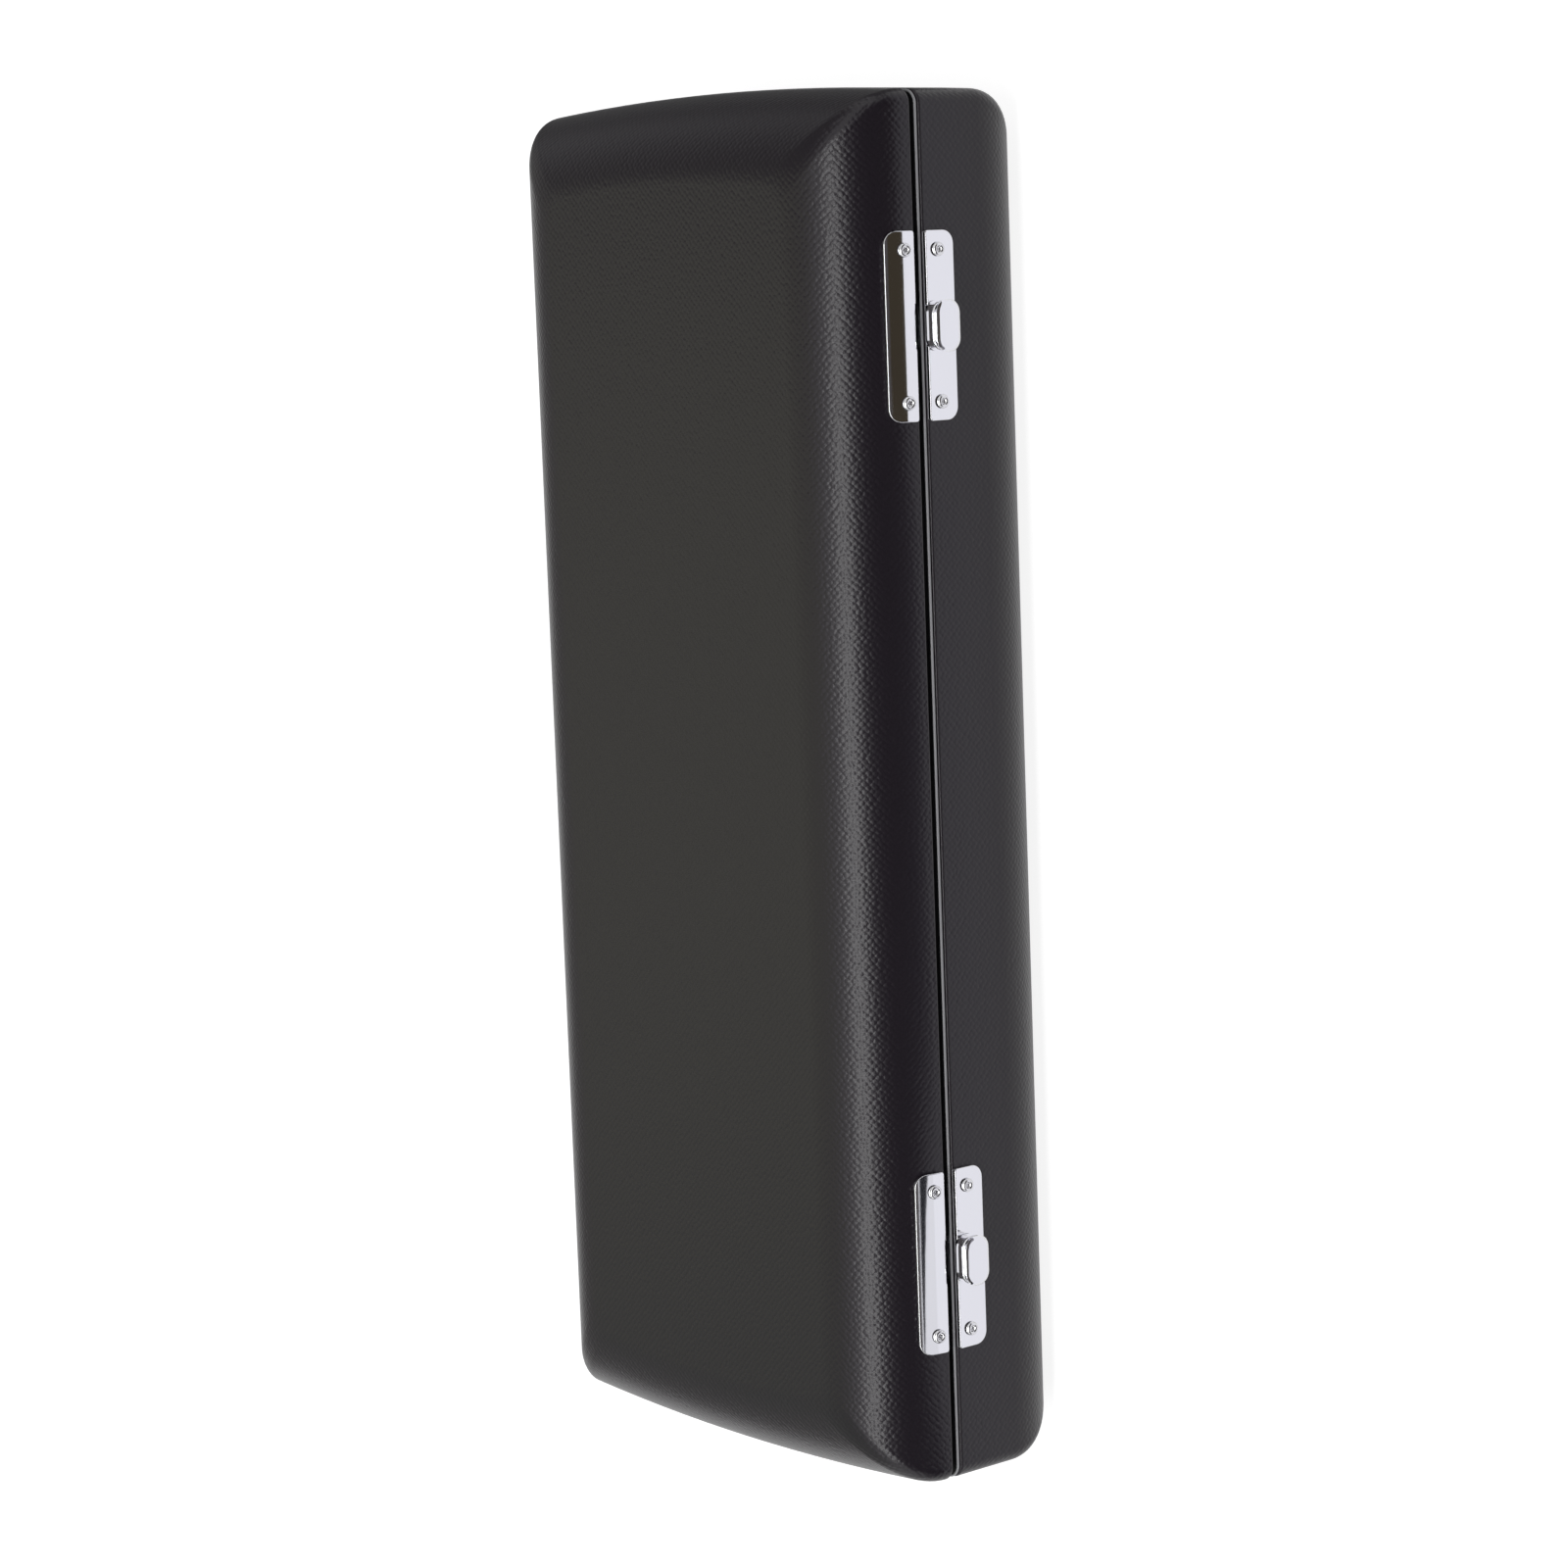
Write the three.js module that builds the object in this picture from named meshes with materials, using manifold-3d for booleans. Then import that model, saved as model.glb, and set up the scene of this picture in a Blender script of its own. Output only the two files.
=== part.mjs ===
// A slim oboe case, lying flat on its underside. The lid is hinged at the back and two sliding
// latches hold it at the front. X runs along the case, -Y is the front and Z is up. Millimetres.
import * as THREE from 'three';
import { mergeVertices } from 'three/addons/utils/BufferGeometryUtils.js';
import Module from 'manifold-3d';

const wasm = await Module();
wasm.setup();

// Outside of the closed case
const CASE_LENGTH = 296;
const CASE_WIDTH = 117;
const CASE_HEIGHT = 57;
const PARTING_HEIGHT = 37;
const END_BOW = 2.3;
const CORNER_RADIUS = 3;
const SMALLEST_CORNER = 1;
const LID_FILLET = 19.2;
const BASE_FILLET = 18.8;
const CORNER_GROWTH_SHARE = 0.1;

// Layers of the walls and the gaps between them
const COVER_THICKNESS = 1;
const COVER_EDGE_ROUND = 0.35;
const SHELL_WALL = 2.5;
const LINING_THICKNESS = 3.5;
const LAYER_GAP = 0.3;
const SEAT_GAP = 0.15;
const RUNNING_GAP = 0.3;
const CUT_OVERRUN = 0.5;

// Rims where the lid meets the base
const LID_EDGE_LIFT = 0.2;
const BEAD_DROP = 0.95;
const BEAD_HEIGHT = 0.75;
const BEAD_SETBACK = 0.15;
const BEAD_ROUND = 0.35;
const RIM_TONGUE_HEIGHT = 2.2;
const RIM_TONGUE_THICKNESS = 1.5;
const RIM_TONGUE_CHAMFER = 0.3;
const RIM_TONGUE_CLEARANCE = 0.6;
const RIM_LEG_LENGTH = 2;
const GROOVE_WALL = 0.7;
const GROOVE_ROOF = 0.8;
const GROOVE_LIP_LIFT = 0.6;
const LID_RIM_FOOT = 1.5;

// Fitted body in the base
const BAY_WALL = 3.6;
const BAY_RIDGE = 3.8;
const UPPER_JOINT_BAY = { length: 244, width: 28, floor: 9 };
const LOWER_JOINT_BAY = { length: 256, width: 30, floor: 9 };
const BELL_BAY = { length: 114, width: 30, floor: 9 };
const BELL_FLARE_BAY = { length: 24, width: 36, floor: 8 };
const OUTFIT_BAY = { length: 112, width: 30, floor: 15, corner: 4 };
const MIDDLE_BAY_END = 128;

// Latches
const LATCH_END_DISTANCE = 50.25;
const LATCH_LENGTH = 38.8;
const PLATE_THICKNESS = 1;
const PLATE_CORNER = 2.8;
const PLATE_SMALL_CORNER = 0.6;
const BASE_PLATE_DROP = 1.8;
const BASE_PLATE_WIDTH = 7.6;
const LID_PLATE_RISE = 1.3;
const LID_PLATE_WIDTH = 6.8;
const LATCH_RIVET_SPACING = 31;
const BASE_RIVET_DROP = 4.9;
const LID_RIVET_RISE = 3.8;
const SLIDE_DROP = 5.4;
const SLIDE_TRAVEL = 3;
const BUTTON_LENGTH = 10.6;
const BUTTON_WIDTH = 6.5;
const BUTTON_HEIGHT = 3.9;
const BUTTON_CORNER = 2.8;
const BUTTON_LIP = 0.75;
const BUTTON_RISE = 1.4;
const NECK_LENGTH = 3.2;
const NECK_WIDTH = 2.6;
const NECK_CORNER = 0.3;
const NECK_GAP = 0.2;
const BOLT_LENGTH = 13;
const BOLT_WIDTH = 4.6;
const BOLT_THICKNESS = 1.5;
const NOSE_LENGTH = 2;
const NOSE_WIDTH = 1.8;
const NOSE_RISE = 0.5;
const NOSE_SETBACK = 0.15;
const NOSE_REACH = 0.2;
const HASP_LENGTH = 8.7;
const HASP_THICKNESS = 0.8;
const HASP_DIP = 0.7;
const HASP_REACH = 1.4;
const HASP_CLEARANCE = 0.45;
const HASP_SLOT_GAP = 0.4;
const HOUSING_WALL = 0.7;
const HOUSING_BACK_GAP = 0.8;
const SPRING_LENGTH = 5.5;
const SPRING_COIL_RADIUS = 1;
const SPRING_WIRE_RADIUS = 0.18;
const SPRING_TURNS = 5;

// Hinges
const HINGE_END_DISTANCE = 63;
const HINGE_LENGTH = 30;
const HINGE_KNUCKLE = 10;
const HINGE_LEAF_WIDTH = 9.5;
const HINGE_LEAF_THICKNESS = 0.9;
const HINGE_LEAF_CORNER = 2;
const HINGE_RIVET_SPACING = 20;
const BARREL_RADIUS = 2.2;
const PIN_RADIUS = 0.9;
const PIN_CLEARANCE = 0.2;
const PIN_HEAD_RADIUS = 1.6;
const PIN_HEAD_THICKNESS = 0.5;

// Rivets of the latches and hinges
const RIVET_HEAD_RADIUS = 1.5;
const RIVET_HEAD_HEIGHT = 0.55;
const RIVET_SHANK_RADIUS = 0.6;
const RIVET_HOLE_GAP = 0.15;

// How finely the round shapes are divided
const CORNER_STEPS = 4;
const END_STEPS = 6;
const FILLET_STEPS = 7;
const BAND_STEPS = 6;
const BAY_STEPS = 10;
const BUTTON_CORNER_STEPS = 4;
const HOLE_SIDES = 10;
const RIVET_SIDES = 10;
const BARREL_SIDES = 16;
const SPRING_STEPS_PER_TURN = 8;
const SPRING_SIDES = 5;

const RIGHT_ANGLE = Math.PI / 2;
const FRONT = -1;
const BACK = 1;

// Depths into the wall, counted from the outer surface
const shellOuter = COVER_THICKNESS + LAYER_GAP;
const shellInner = shellOuter + SHELL_WALL;
const liningOuter = shellInner + LAYER_GAP;
const liningInner = liningOuter + LINING_THICKNESS;

// Heights of the edges and rims
const lidEdge = PARTING_HEIGHT + LID_EDGE_LIFT;
const beadTop = PARTING_HEIGHT - BEAD_DROP;
const beadBottom = beadTop - BEAD_HEIGHT;
const baseEdge = beadBottom - LAYER_GAP;
const rimLegBottom = beadBottom - RIM_LEG_LENGTH;
const deckHeight = rimLegBottom - LAYER_GAP;
const rimTongueTop = PARTING_HEIGHT + RIM_TONGUE_HEIGHT;
const grooveRoof = rimTongueTop + RIM_TONGUE_CLEARANCE;
const lidRimTop = grooveRoof + GROOVE_ROOF;
const lidRimFootTop = lidEdge + LID_RIM_FOOT;
const lidShellEdge = lidRimFootTop + LAYER_GAP;
const liningEdge = lidRimTop + LAYER_GAP;

const lidFillet = Math.min(LID_FILLET, CASE_HEIGHT - lidEdge - COVER_EDGE_ROUND);
const baseFillet = Math.min(BASE_FILLET, baseEdge - COVER_EDGE_ROUND);
const lidSpringLine = CASE_HEIGHT - lidFillet;

// How far the lid's fillet has drawn a layer in at a height
function lidDrawIn(depth, height) {
  const radius = lidFillet - depth;
  const rise = Math.min(Math.max(height - lidSpringLine, 0), radius);
  return radius - Math.sqrt(radius * radius - rise * rise);
}

// Depths of the lid rim's groove and of the base rim's tongue that enters it
const grooveWallOuter = shellInner + lidDrawIn(shellInner, lidRimTop) + LAYER_GAP;
const grooveWallInner = grooveWallOuter + GROOVE_WALL;
const rimTongueOuter = grooveWallInner + RIM_TONGUE_CLEARANCE;
const rimTongueInner = rimTongueOuter + RIM_TONGUE_THICKNESS;
const grooveLipOuter = rimTongueInner + RIM_TONGUE_CLEARANCE;
const grooveLipInner = grooveLipOuter + GROOVE_WALL;

// Latch: depths behind the front surface, heights and places outwards from the latch's middle
const plateFace = -SEAT_GAP - PLATE_THICKNESS;
const boltFront = RUNNING_GAP - SEAT_GAP;
const boltBack = boltFront + BOLT_THICKNESS;
const haspFront = boltBack + HASP_CLEARANCE;
const haspBack = haspFront + HASP_THICKNESS;
const housingBackInner = haspBack + HOUSING_BACK_GAP;
const housingBack = housingBackInner + HOUSING_WALL;
const slideHeight = PARTING_HEIGHT - SLIDE_DROP;
const noseMiddle = slideHeight + NOSE_RISE;
const noseOuterEnd = HASP_LENGTH / 2 - NOSE_SETBACK;
const noseInnerEnd = noseOuterEnd - NOSE_LENGTH;
const boltHalf = BOLT_LENGTH / 2;
const springStart = boltHalf + RUNNING_GAP;
const springEnd = springStart + SPRING_LENGTH;
const housingInner = { from: -boltHalf - RUNNING_GAP, to: springEnd + RUNNING_GAP };
const housingOuter = { from: housingInner.from - HOUSING_WALL, to: housingInner.to + HOUSING_WALL };
const housingHalfInner = BOLT_WIDTH / 2 + RUNNING_GAP;
const housingHalfOuter = housingHalfInner + HOUSING_WALL;

const latchX = CASE_LENGTH / 2 - LATCH_END_DISTANCE;
const hingeX = CASE_LENGTH / 2 - HINGE_END_DISTANCE;
const hingeOut = CASE_WIDTH / 2 + SEAT_GAP + BARREL_RADIUS;
const knuckleReach = BARREL_RADIUS + RUNNING_GAP;

function material(color, roughness, metalness) {
  return new THREE.MeshStandardMaterial({ color, roughness, metalness });
}

function addPiece(parent, name, geometry, finish) {
  const mesh = new THREE.Mesh(geometry, finish);
  mesh.name = name;
  parent.add(mesh);
  return mesh;
}

function solidOf(geometry) {
  const bare = geometry.clone();
  bare.deleteAttribute('normal');
  bare.deleteAttribute('uv');
  const welded = mergeVertices(bare);
  const vertProperties = Float32Array.from(welded.attributes.position.array);
  const triVerts = Uint32Array.from(welded.index.array);
  return new wasm.Manifold(new wasm.Mesh({ numProp: 3, vertProperties, triVerts }));
}

function geometryOf(solid) {
  const mesh = solid.getMesh();
  const geometry = new THREE.BufferGeometry();
  geometry.setAttribute('position', new THREE.BufferAttribute(mesh.vertProperties, 3));
  geometry.setIndex(new THREE.BufferAttribute(mesh.triVerts, 1));
  return geometry;
}

function joinAll(geometries) {
  return geometryOf(geometries.map(solidOf).reduce((whole, next) => whole.add(next)));
}

function cutAway(geometry, cutters) {
  return geometryOf(cutters.map(solidOf).reduce((rest, next) => rest.subtract(next), solidOf(geometry)));
}

function common(first, second) {
  return geometryOf(solidOf(first).intersect(solidOf(second)));
}

// Joins rings of points into a skin: each ring runs anticlockwise seen from where the rings lead.
// A closed row joins its last ring to its first, an open one gets a flat cap at each end.
function skin(rings, closed) {
  const count = rings[0].length;
  const points = rings.flat();
  const faces = [];
  const bands = closed ? rings.length : rings.length - 1;
  for (let band = 0; band < bands; band += 1) {
    const lower = band * count;
    const upper = ((band + 1) % rings.length) * count;
    for (let place = 0; place < count; place += 1) {
      const next = (place + 1) % count;
      faces.push(lower + place, lower + next, upper + next);
      faces.push(lower + place, upper + next, upper + place);
    }
  }
  if (!closed) {
    const last = (rings.length - 1) * count;
    const firstHub = points.push(middleOf(rings[0])) - 1;
    const lastHub = points.push(middleOf(rings[rings.length - 1])) - 1;
    for (let place = 0; place < count; place += 1) {
      const next = (place + 1) % count;
      faces.push(firstHub, next, place);
      faces.push(lastHub, last + place, last + next);
    }
  }
  const geometry = new THREE.BufferGeometry().setFromPoints(points);
  geometry.setIndex(faces);
  return geometry;
}

function middleOf(points) {
  const sum = points.reduce((total, point) => total.add(point), new THREE.Vector3());
  return sum.divideScalar(points.length);
}

function block(xs, ys, zs) {
  const spans = [xs, ys, zs].map((pair) => Math.abs(pair[1] - pair[0]));
  const middles = [xs, ys, zs].map((pair) => (pair[0] + pair[1]) / 2);
  return new THREE.BoxGeometry(...spans).translate(...middles);
}

// A shape drawn in Y and Z, drawn out along X between two places
function alongX(shape, from, to, curveSegments) {
  const depth = to - from;
  const geometry = new THREE.ExtrudeGeometry(shape, { depth, curveSegments, bevelEnabled: false });
  const turn = new THREE.Matrix4().makeBasis(
    new THREE.Vector3(0, 1, 0),
    new THREE.Vector3(0, 0, 1),
    new THREE.Vector3(1, 0, 0),
  );
  return geometry.applyMatrix4(turn).translate(from, 0, 0);
}

// A shape drawn in X and Z, drawn out along Y between two places
function alongY(shape, from, to) {
  const geometry = new THREE.ExtrudeGeometry(shape, {
    depth: to - from,
    curveSegments: BUTTON_CORNER_STEPS,
    bevelEnabled: false,
  });
  return geometry.rotateX(RIGHT_ANGLE).translate(0, to, 0);
}

function roundedPlate(halfLength, low, high, lowCorner, highCorner) {
  const shape = new THREE.Shape();
  shape.moveTo(-halfLength + lowCorner, low);
  shape.lineTo(halfLength - lowCorner, low);
  shape.absarc(halfLength - lowCorner, low + lowCorner, lowCorner, -RIGHT_ANGLE, 0);
  shape.lineTo(halfLength, high - highCorner);
  shape.absarc(halfLength - highCorner, high - highCorner, highCorner, 0, RIGHT_ANGLE);
  shape.lineTo(-halfLength + highCorner, high);
  shape.absarc(-halfLength + highCorner, high - highCorner, highCorner, RIGHT_ANGLE, 2 * RIGHT_ANGLE);
  shape.lineTo(-halfLength, low + lowCorner);
  shape.absarc(-halfLength + lowCorner, low + lowCorner, lowCorner, -2 * RIGHT_ANGLE, -RIGHT_ANGLE);
  return shape;
}

// One level of the case's outline. A layer lies at a depth in the wall and the fillet draws it in
// further. The long sides are straight and the ends bow outwards.
function outlineRing(depth, drawIn, height) {
  const halfWidth = CASE_WIDTH / 2 - depth - drawIn;
  const halfLength = CASE_LENGTH / 2 - END_BOW - depth - drawIn;
  const radius = Math.max(CORNER_RADIUS - depth, SMALLEST_CORNER) + CORNER_GROWTH_SHARE * drawIn;
  const cornerX = halfLength - radius;
  const cornerY = halfWidth - radius;
  const ring = [];
  function addPoint(x, y) {
    const endShare = Math.max(Math.abs(x) - cornerX, 0) / radius;
    const bow = END_BOW * endShare * (1 - (y / halfWidth) ** 2);
    ring.push(new THREE.Vector3(x + Math.sign(x) * bow, y, height));
  }
  for (let quarter = 0; quarter < 4; quarter += 1) {
    const xSide = quarter === 0 || quarter === 3 ? 1 : -1;
    const ySide = quarter < 2 ? 1 : -1;
    for (let step = 0; step <= CORNER_STEPS; step += 1) {
      const angle = (quarter + step / CORNER_STEPS) * RIGHT_ANGLE;
      addPoint(xSide * cornerX + radius * Math.cos(angle), ySide * cornerY + radius * Math.sin(angle));
    }
    const endSteps = xSide === ySide ? 0 : END_STEPS;
    for (let step = 1; step < endSteps; step += 1) {
      addPoint(xSide * halfLength, ySide * cornerY * (1 - (2 * step) / endSteps));
    }
  }
  return ring;
}

// The base's levels at a depth in its wall, from the flat underside up to an edge
function baseLevels(depth, edge) {
  const radius = baseFillet - depth;
  const levels = [];
  for (let step = FILLET_STEPS; step >= 0; step -= 1) {
    const turn = (step / FILLET_STEPS) * RIGHT_ANGLE;
    levels.push(outlineRing(depth, radius * (1 - Math.cos(turn)), baseFillet - radius * Math.sin(turn)));
  }
  levels.push(outlineRing(depth, 0, edge));
  return levels;
}

// The lid's levels at a depth in its wall, from an edge up to the flat top
function lidLevels(depth, edge) {
  const radius = lidFillet - depth;
  const start = Math.asin(Math.max(edge - lidSpringLine, 0) / radius);
  const levels = edge < lidSpringLine ? [outlineRing(depth, 0, edge)] : [];
  for (let step = 0; step <= FILLET_STEPS; step += 1) {
    const turn = start + (step / FILLET_STEPS) * (RIGHT_ANGLE - start);
    levels.push(outlineRing(depth, radius * (1 - Math.cos(turn)), lidSpringLine + radius * Math.sin(turn)));
  }
  return levels;
}

function baseCover() {
  const shoulder = baseEdge - COVER_EDGE_ROUND;
  return skin([
    ...baseLevels(0, shoulder),
    outlineRing(COVER_EDGE_ROUND, 0, baseEdge),
    outlineRing(COVER_THICKNESS - COVER_EDGE_ROUND, 0, baseEdge),
    ...baseLevels(COVER_THICKNESS, shoulder).reverse(),
  ]);
}

function lidCover() {
  const shoulder = lidEdge + COVER_EDGE_ROUND;
  return skin([
    ...lidLevels(COVER_THICKNESS, shoulder).reverse(),
    outlineRing(COVER_THICKNESS - COVER_EDGE_ROUND, 0, lidEdge),
    outlineRing(COVER_EDGE_ROUND, 0, lidEdge),
    ...lidLevels(0, shoulder),
  ]);
}

function baseDish(outer, inner, edge) {
  return skin([...baseLevels(outer, edge), ...baseLevels(inner, edge).reverse()]);
}

function lidDish(outer, inner, edge) {
  return skin([...lidLevels(inner, edge).reverse(), ...lidLevels(outer, edge)]);
}

// A rim is a section of depths and heights, walked up its outside and down its inside
function rim(section) {
  return skin(section.map(([depth, height]) => outlineRing(depth, 0, height)), true);
}

function baseRim() {
  return rim([
    [BEAD_SETBACK + BEAD_ROUND, beadBottom],
    [BEAD_SETBACK, beadBottom + BEAD_ROUND],
    [BEAD_SETBACK, beadTop - BEAD_ROUND],
    [BEAD_SETBACK + BEAD_ROUND, beadTop],
    [rimTongueOuter, beadTop],
    [rimTongueOuter, rimTongueTop - RIM_TONGUE_CHAMFER],
    [rimTongueOuter + RIM_TONGUE_CHAMFER, rimTongueTop],
    [rimTongueInner - RIM_TONGUE_CHAMFER, rimTongueTop],
    [rimTongueInner, rimTongueTop - RIM_TONGUE_CHAMFER],
    [rimTongueInner, rimLegBottom],
    [housingBack + LAYER_GAP, rimLegBottom],
    [housingBack + LAYER_GAP, beadBottom],
  ]);
}

function lidRim() {
  return rim([
    [shellOuter, lidEdge],
    [shellOuter, lidRimFootTop],
    [grooveWallOuter, lidRimFootTop],
    [grooveWallOuter, lidRimTop],
    [grooveLipInner, lidRimTop],
    [grooveLipInner, lidEdge + GROOVE_LIP_LIFT],
    [grooveLipOuter, lidEdge + GROOVE_LIP_LIFT],
    [grooveLipOuter, grooveRoof],
    [grooveWallInner, grooveRoof],
    [grooveWallInner, lidEdge],
  ]);
}

// Bays of the fitted body, laid out across the case from the front wall
const bayFront = -CASE_WIDTH / 2 + liningOuter + BAY_WALL;
const upperJointMiddle = bayFront + UPPER_JOINT_BAY.width / 2;
const middleBayMiddle = bayFront + UPPER_JOINT_BAY.width + BAY_RIDGE + BELL_FLARE_BAY.width / 2;
const middleBayBack = middleBayMiddle + BELL_FLARE_BAY.width / 2;
const lowerJointMiddle = middleBayBack + BAY_RIDGE + LOWER_JOINT_BAY.width / 2;

// A round-bottomed trough for one joint of the instrument
function trough(bay, from, middle) {
  const radius = bay.width / 2;
  const shape = new THREE.Shape();
  shape.moveTo(middle - radius, deckHeight + CUT_OVERRUN);
  shape.lineTo(middle - radius, bay.floor + radius);
  shape.absarc(middle, bay.floor + radius, radius, -2 * RIGHT_ANGLE, 0);
  shape.lineTo(middle + radius, deckHeight + CUT_OVERRUN);
  return alongX(shape, from, from + bay.length, BAY_STEPS / 2);
}

// A flat-floored box for reeds, cork grease and a screwdriver
function outfitBox(bay, to, middle) {
  const shape = new THREE.Shape();
  const corner = bay.corner;
  const side = bay.width / 2;
  shape.moveTo(middle - side, deckHeight + CUT_OVERRUN);
  shape.lineTo(middle - side, bay.floor + corner);
  shape.absarc(middle - side + corner, bay.floor + corner, corner, -2 * RIGHT_ANGLE, -RIGHT_ANGLE);
  shape.lineTo(middle + side - corner, bay.floor);
  shape.absarc(middle + side - corner, bay.floor + corner, corner, -RIGHT_ANGLE, 0);
  shape.lineTo(middle + side, deckHeight + CUT_OVERRUN);
  return alongX(shape, to - bay.length, to, BUTTON_CORNER_STEPS);
}

function baseInsert() {
  return cutAway(skin(baseLevels(liningOuter, deckHeight)), [
    trough(UPPER_JOINT_BAY, -UPPER_JOINT_BAY.length / 2, upperJointMiddle),
    trough(LOWER_JOINT_BAY, -LOWER_JOINT_BAY.length / 2, lowerJointMiddle),
    trough(BELL_BAY, -MIDDLE_BAY_END, middleBayMiddle),
    trough(BELL_FLARE_BAY, -MIDDLE_BAY_END, middleBayMiddle),
    outfitBox(OUTFIT_BAY, MIDDLE_BAY_END, middleBayMiddle),
    ...latchSides.map(housingRoom),
  ]);
}

// A point on the lid's side wall. The arc is measured from the parting plane up the wall and round
// its fillet, the lift is the distance out from the surface.
function lidWall(arc, lift) {
  const straight = lidSpringLine - PARTING_HEIGHT;
  const tilt = Math.max(arc - straight, 0) / lidFillet;
  return {
    tilt,
    out: CASE_WIDTH / 2 - lidFillet + (lidFillet + lift) * Math.cos(tilt),
    up: arc < straight ? PARTING_HEIGHT + arc : lidSpringLine + (lidFillet + lift) * Math.sin(tilt),
  };
}

function baseWall(drop, lift) {
  return { tilt: 0, out: CASE_WIDTH / 2 + lift, up: PARTING_HEIGHT - drop };
}

// A strip of metal that lies against the lid's wall between two arcs
function lidStrip(side, fromArc, toArc, thickness, from, to) {
  const outer = [];
  const inner = [];
  for (let step = 0; step <= BAND_STEPS; step += 1) {
    const arc = fromArc + (step / BAND_STEPS) * (toArc - fromArc);
    const face = lidWall(arc, SEAT_GAP + thickness);
    const seat = lidWall(arc, SEAT_GAP);
    outer.push(new THREE.Vector2(side * face.out, face.up));
    inner.unshift(new THREE.Vector2(side * seat.out, seat.up));
  }
  return alongX(new THREE.Shape([...outer, ...inner]), from, to);
}

// Rounds the far corners of a strip that lies against the lid's wall
function roundedStrip(strip, halfLength, fromArc, toArc, thickness, corner) {
  const low = lidWall(fromArc, 0).up - CUT_OVERRUN;
  const high = lidWall(toArc, SEAT_GAP + thickness).up;
  const outline = roundedPlate(halfLength, low, high, PLATE_SMALL_CORNER, corner);
  const reach = CASE_WIDTH / 2 + SEAT_GAP + thickness + CUT_OVERRUN;
  return common(strip, alongY(outline, -reach, reach));
}

// Turns a shape that stands along +Y square to the wall at a place
function ontoWall(side, place) {
  return side === BACK ? place.tilt : 2 * RIGHT_ANGLE - place.tilt;
}

const rivetReach = SEAT_GAP + shellInner;

function rivetHole(side, x, place, thickness) {
  const radius = RIVET_SHANK_RADIUS + RIVET_HOLE_GAP;
  const length = 2 * (rivetReach + thickness + CUT_OVERRUN);
  const hole = new THREE.CylinderGeometry(radius, radius, length, HOLE_SIDES);
  return hole.rotateX(ontoWall(side, place)).translate(x, side * place.out, place.up);
}

function addRivet(parent, name, side, x, place, thickness) {
  const profile = [
    [0, -rivetReach - thickness],
    [RIVET_SHANK_RADIUS, -rivetReach - thickness],
    [RIVET_SHANK_RADIUS, 0],
    [RIVET_HEAD_RADIUS, 0],
    [RIVET_HEAD_RADIUS * Math.cos(RIGHT_ANGLE / 3), RIVET_HEAD_HEIGHT * Math.sin(RIGHT_ANGLE * 2 / 3)],
    [0, RIVET_HEAD_HEIGHT],
  ];
  const points = profile.map(([radius, height]) => new THREE.Vector2(radius, height + SEAT_GAP));
  const rivet = addPiece(parent, name, new THREE.LatheGeometry(points, RIVET_SIDES), rivetMetal);
  rivet.position.set(x, side * place.out, place.up);
  rivet.rotation.x = ontoWall(side, place);
}

function frontY(depth) {
  return depth - CASE_WIDTH / 2;
}

// A block of a latch: places outwards from its middle, depths behind the front surface and heights
function latchBlock(outward, outs, depths, heights) {
  return block(outs.map((out) => outward * out), depths.map(frontY), heights);
}

function aroundSlide(half) {
  return [slideHeight - half, slideHeight + half];
}

// The room that a latch's housing takes in the wall
function housingRoom(outward) {
  const outs = [housingOuter.from - LAYER_GAP, housingOuter.to + LAYER_GAP];
  const heights = [slideHeight - housingHalfOuter - LAYER_GAP, baseEdge + CUT_OVERRUN];
  const room = latchBlock(outward, outs, [-CUT_OVERRUN, housingBack + LAYER_GAP], heights);
  return inLatch(outward, room);
}

// The slot through which the hasp of a lid plate passes
function haspSlot(outward, low, high) {
  const half = HASP_LENGTH / 2 + RUNNING_GAP;
  const depths = [haspFront - HASP_SLOT_GAP, haspBack + HASP_SLOT_GAP];
  return latchBlock(outward, [-half, half], depths, [low, high]);
}

function latchHoles(place) {
  return rivetEnds.map((end) => rivetHole(FRONT, end * latchRivetX, place, PLATE_THICKNESS));
}

function latchBasePlate(outward) {
  const high = PARTING_HEIGHT - BASE_PLATE_DROP;
  const low = high - BASE_PLATE_WIDTH;
  const outline = roundedPlate(LATCH_LENGTH / 2, low, high, PLATE_CORNER, PLATE_SMALL_CORNER);
  const neckHalf = NECK_LENGTH / 2 + NECK_GAP;
  const slot = latchBlock(
    outward,
    [-neckHalf, neckHalf + SLIDE_TRAVEL],
    [plateFace - CUT_OVERRUN, CUT_OVERRUN],
    aroundSlide(NECK_WIDTH / 2 + NECK_GAP),
  );
  const plate = alongY(outline, frontY(plateFace), frontY(-SEAT_GAP));
  return cutAway(plate, [slot, ...latchHoles(baseRivetPlace)]);
}

function latchHousing(outward) {
  const outer = latchBlock(
    outward,
    [housingOuter.from, housingOuter.to],
    [0, housingBack],
    aroundSlide(housingHalfOuter),
  );
  const inner = latchBlock(
    outward,
    [housingInner.from, housingInner.to],
    [-CUT_OVERRUN, housingBackInner],
    aroundSlide(housingHalfInner),
  );
  return cutAway(outer, [inner, haspSlot(outward, slideHeight, beadBottom)]);
}

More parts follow.
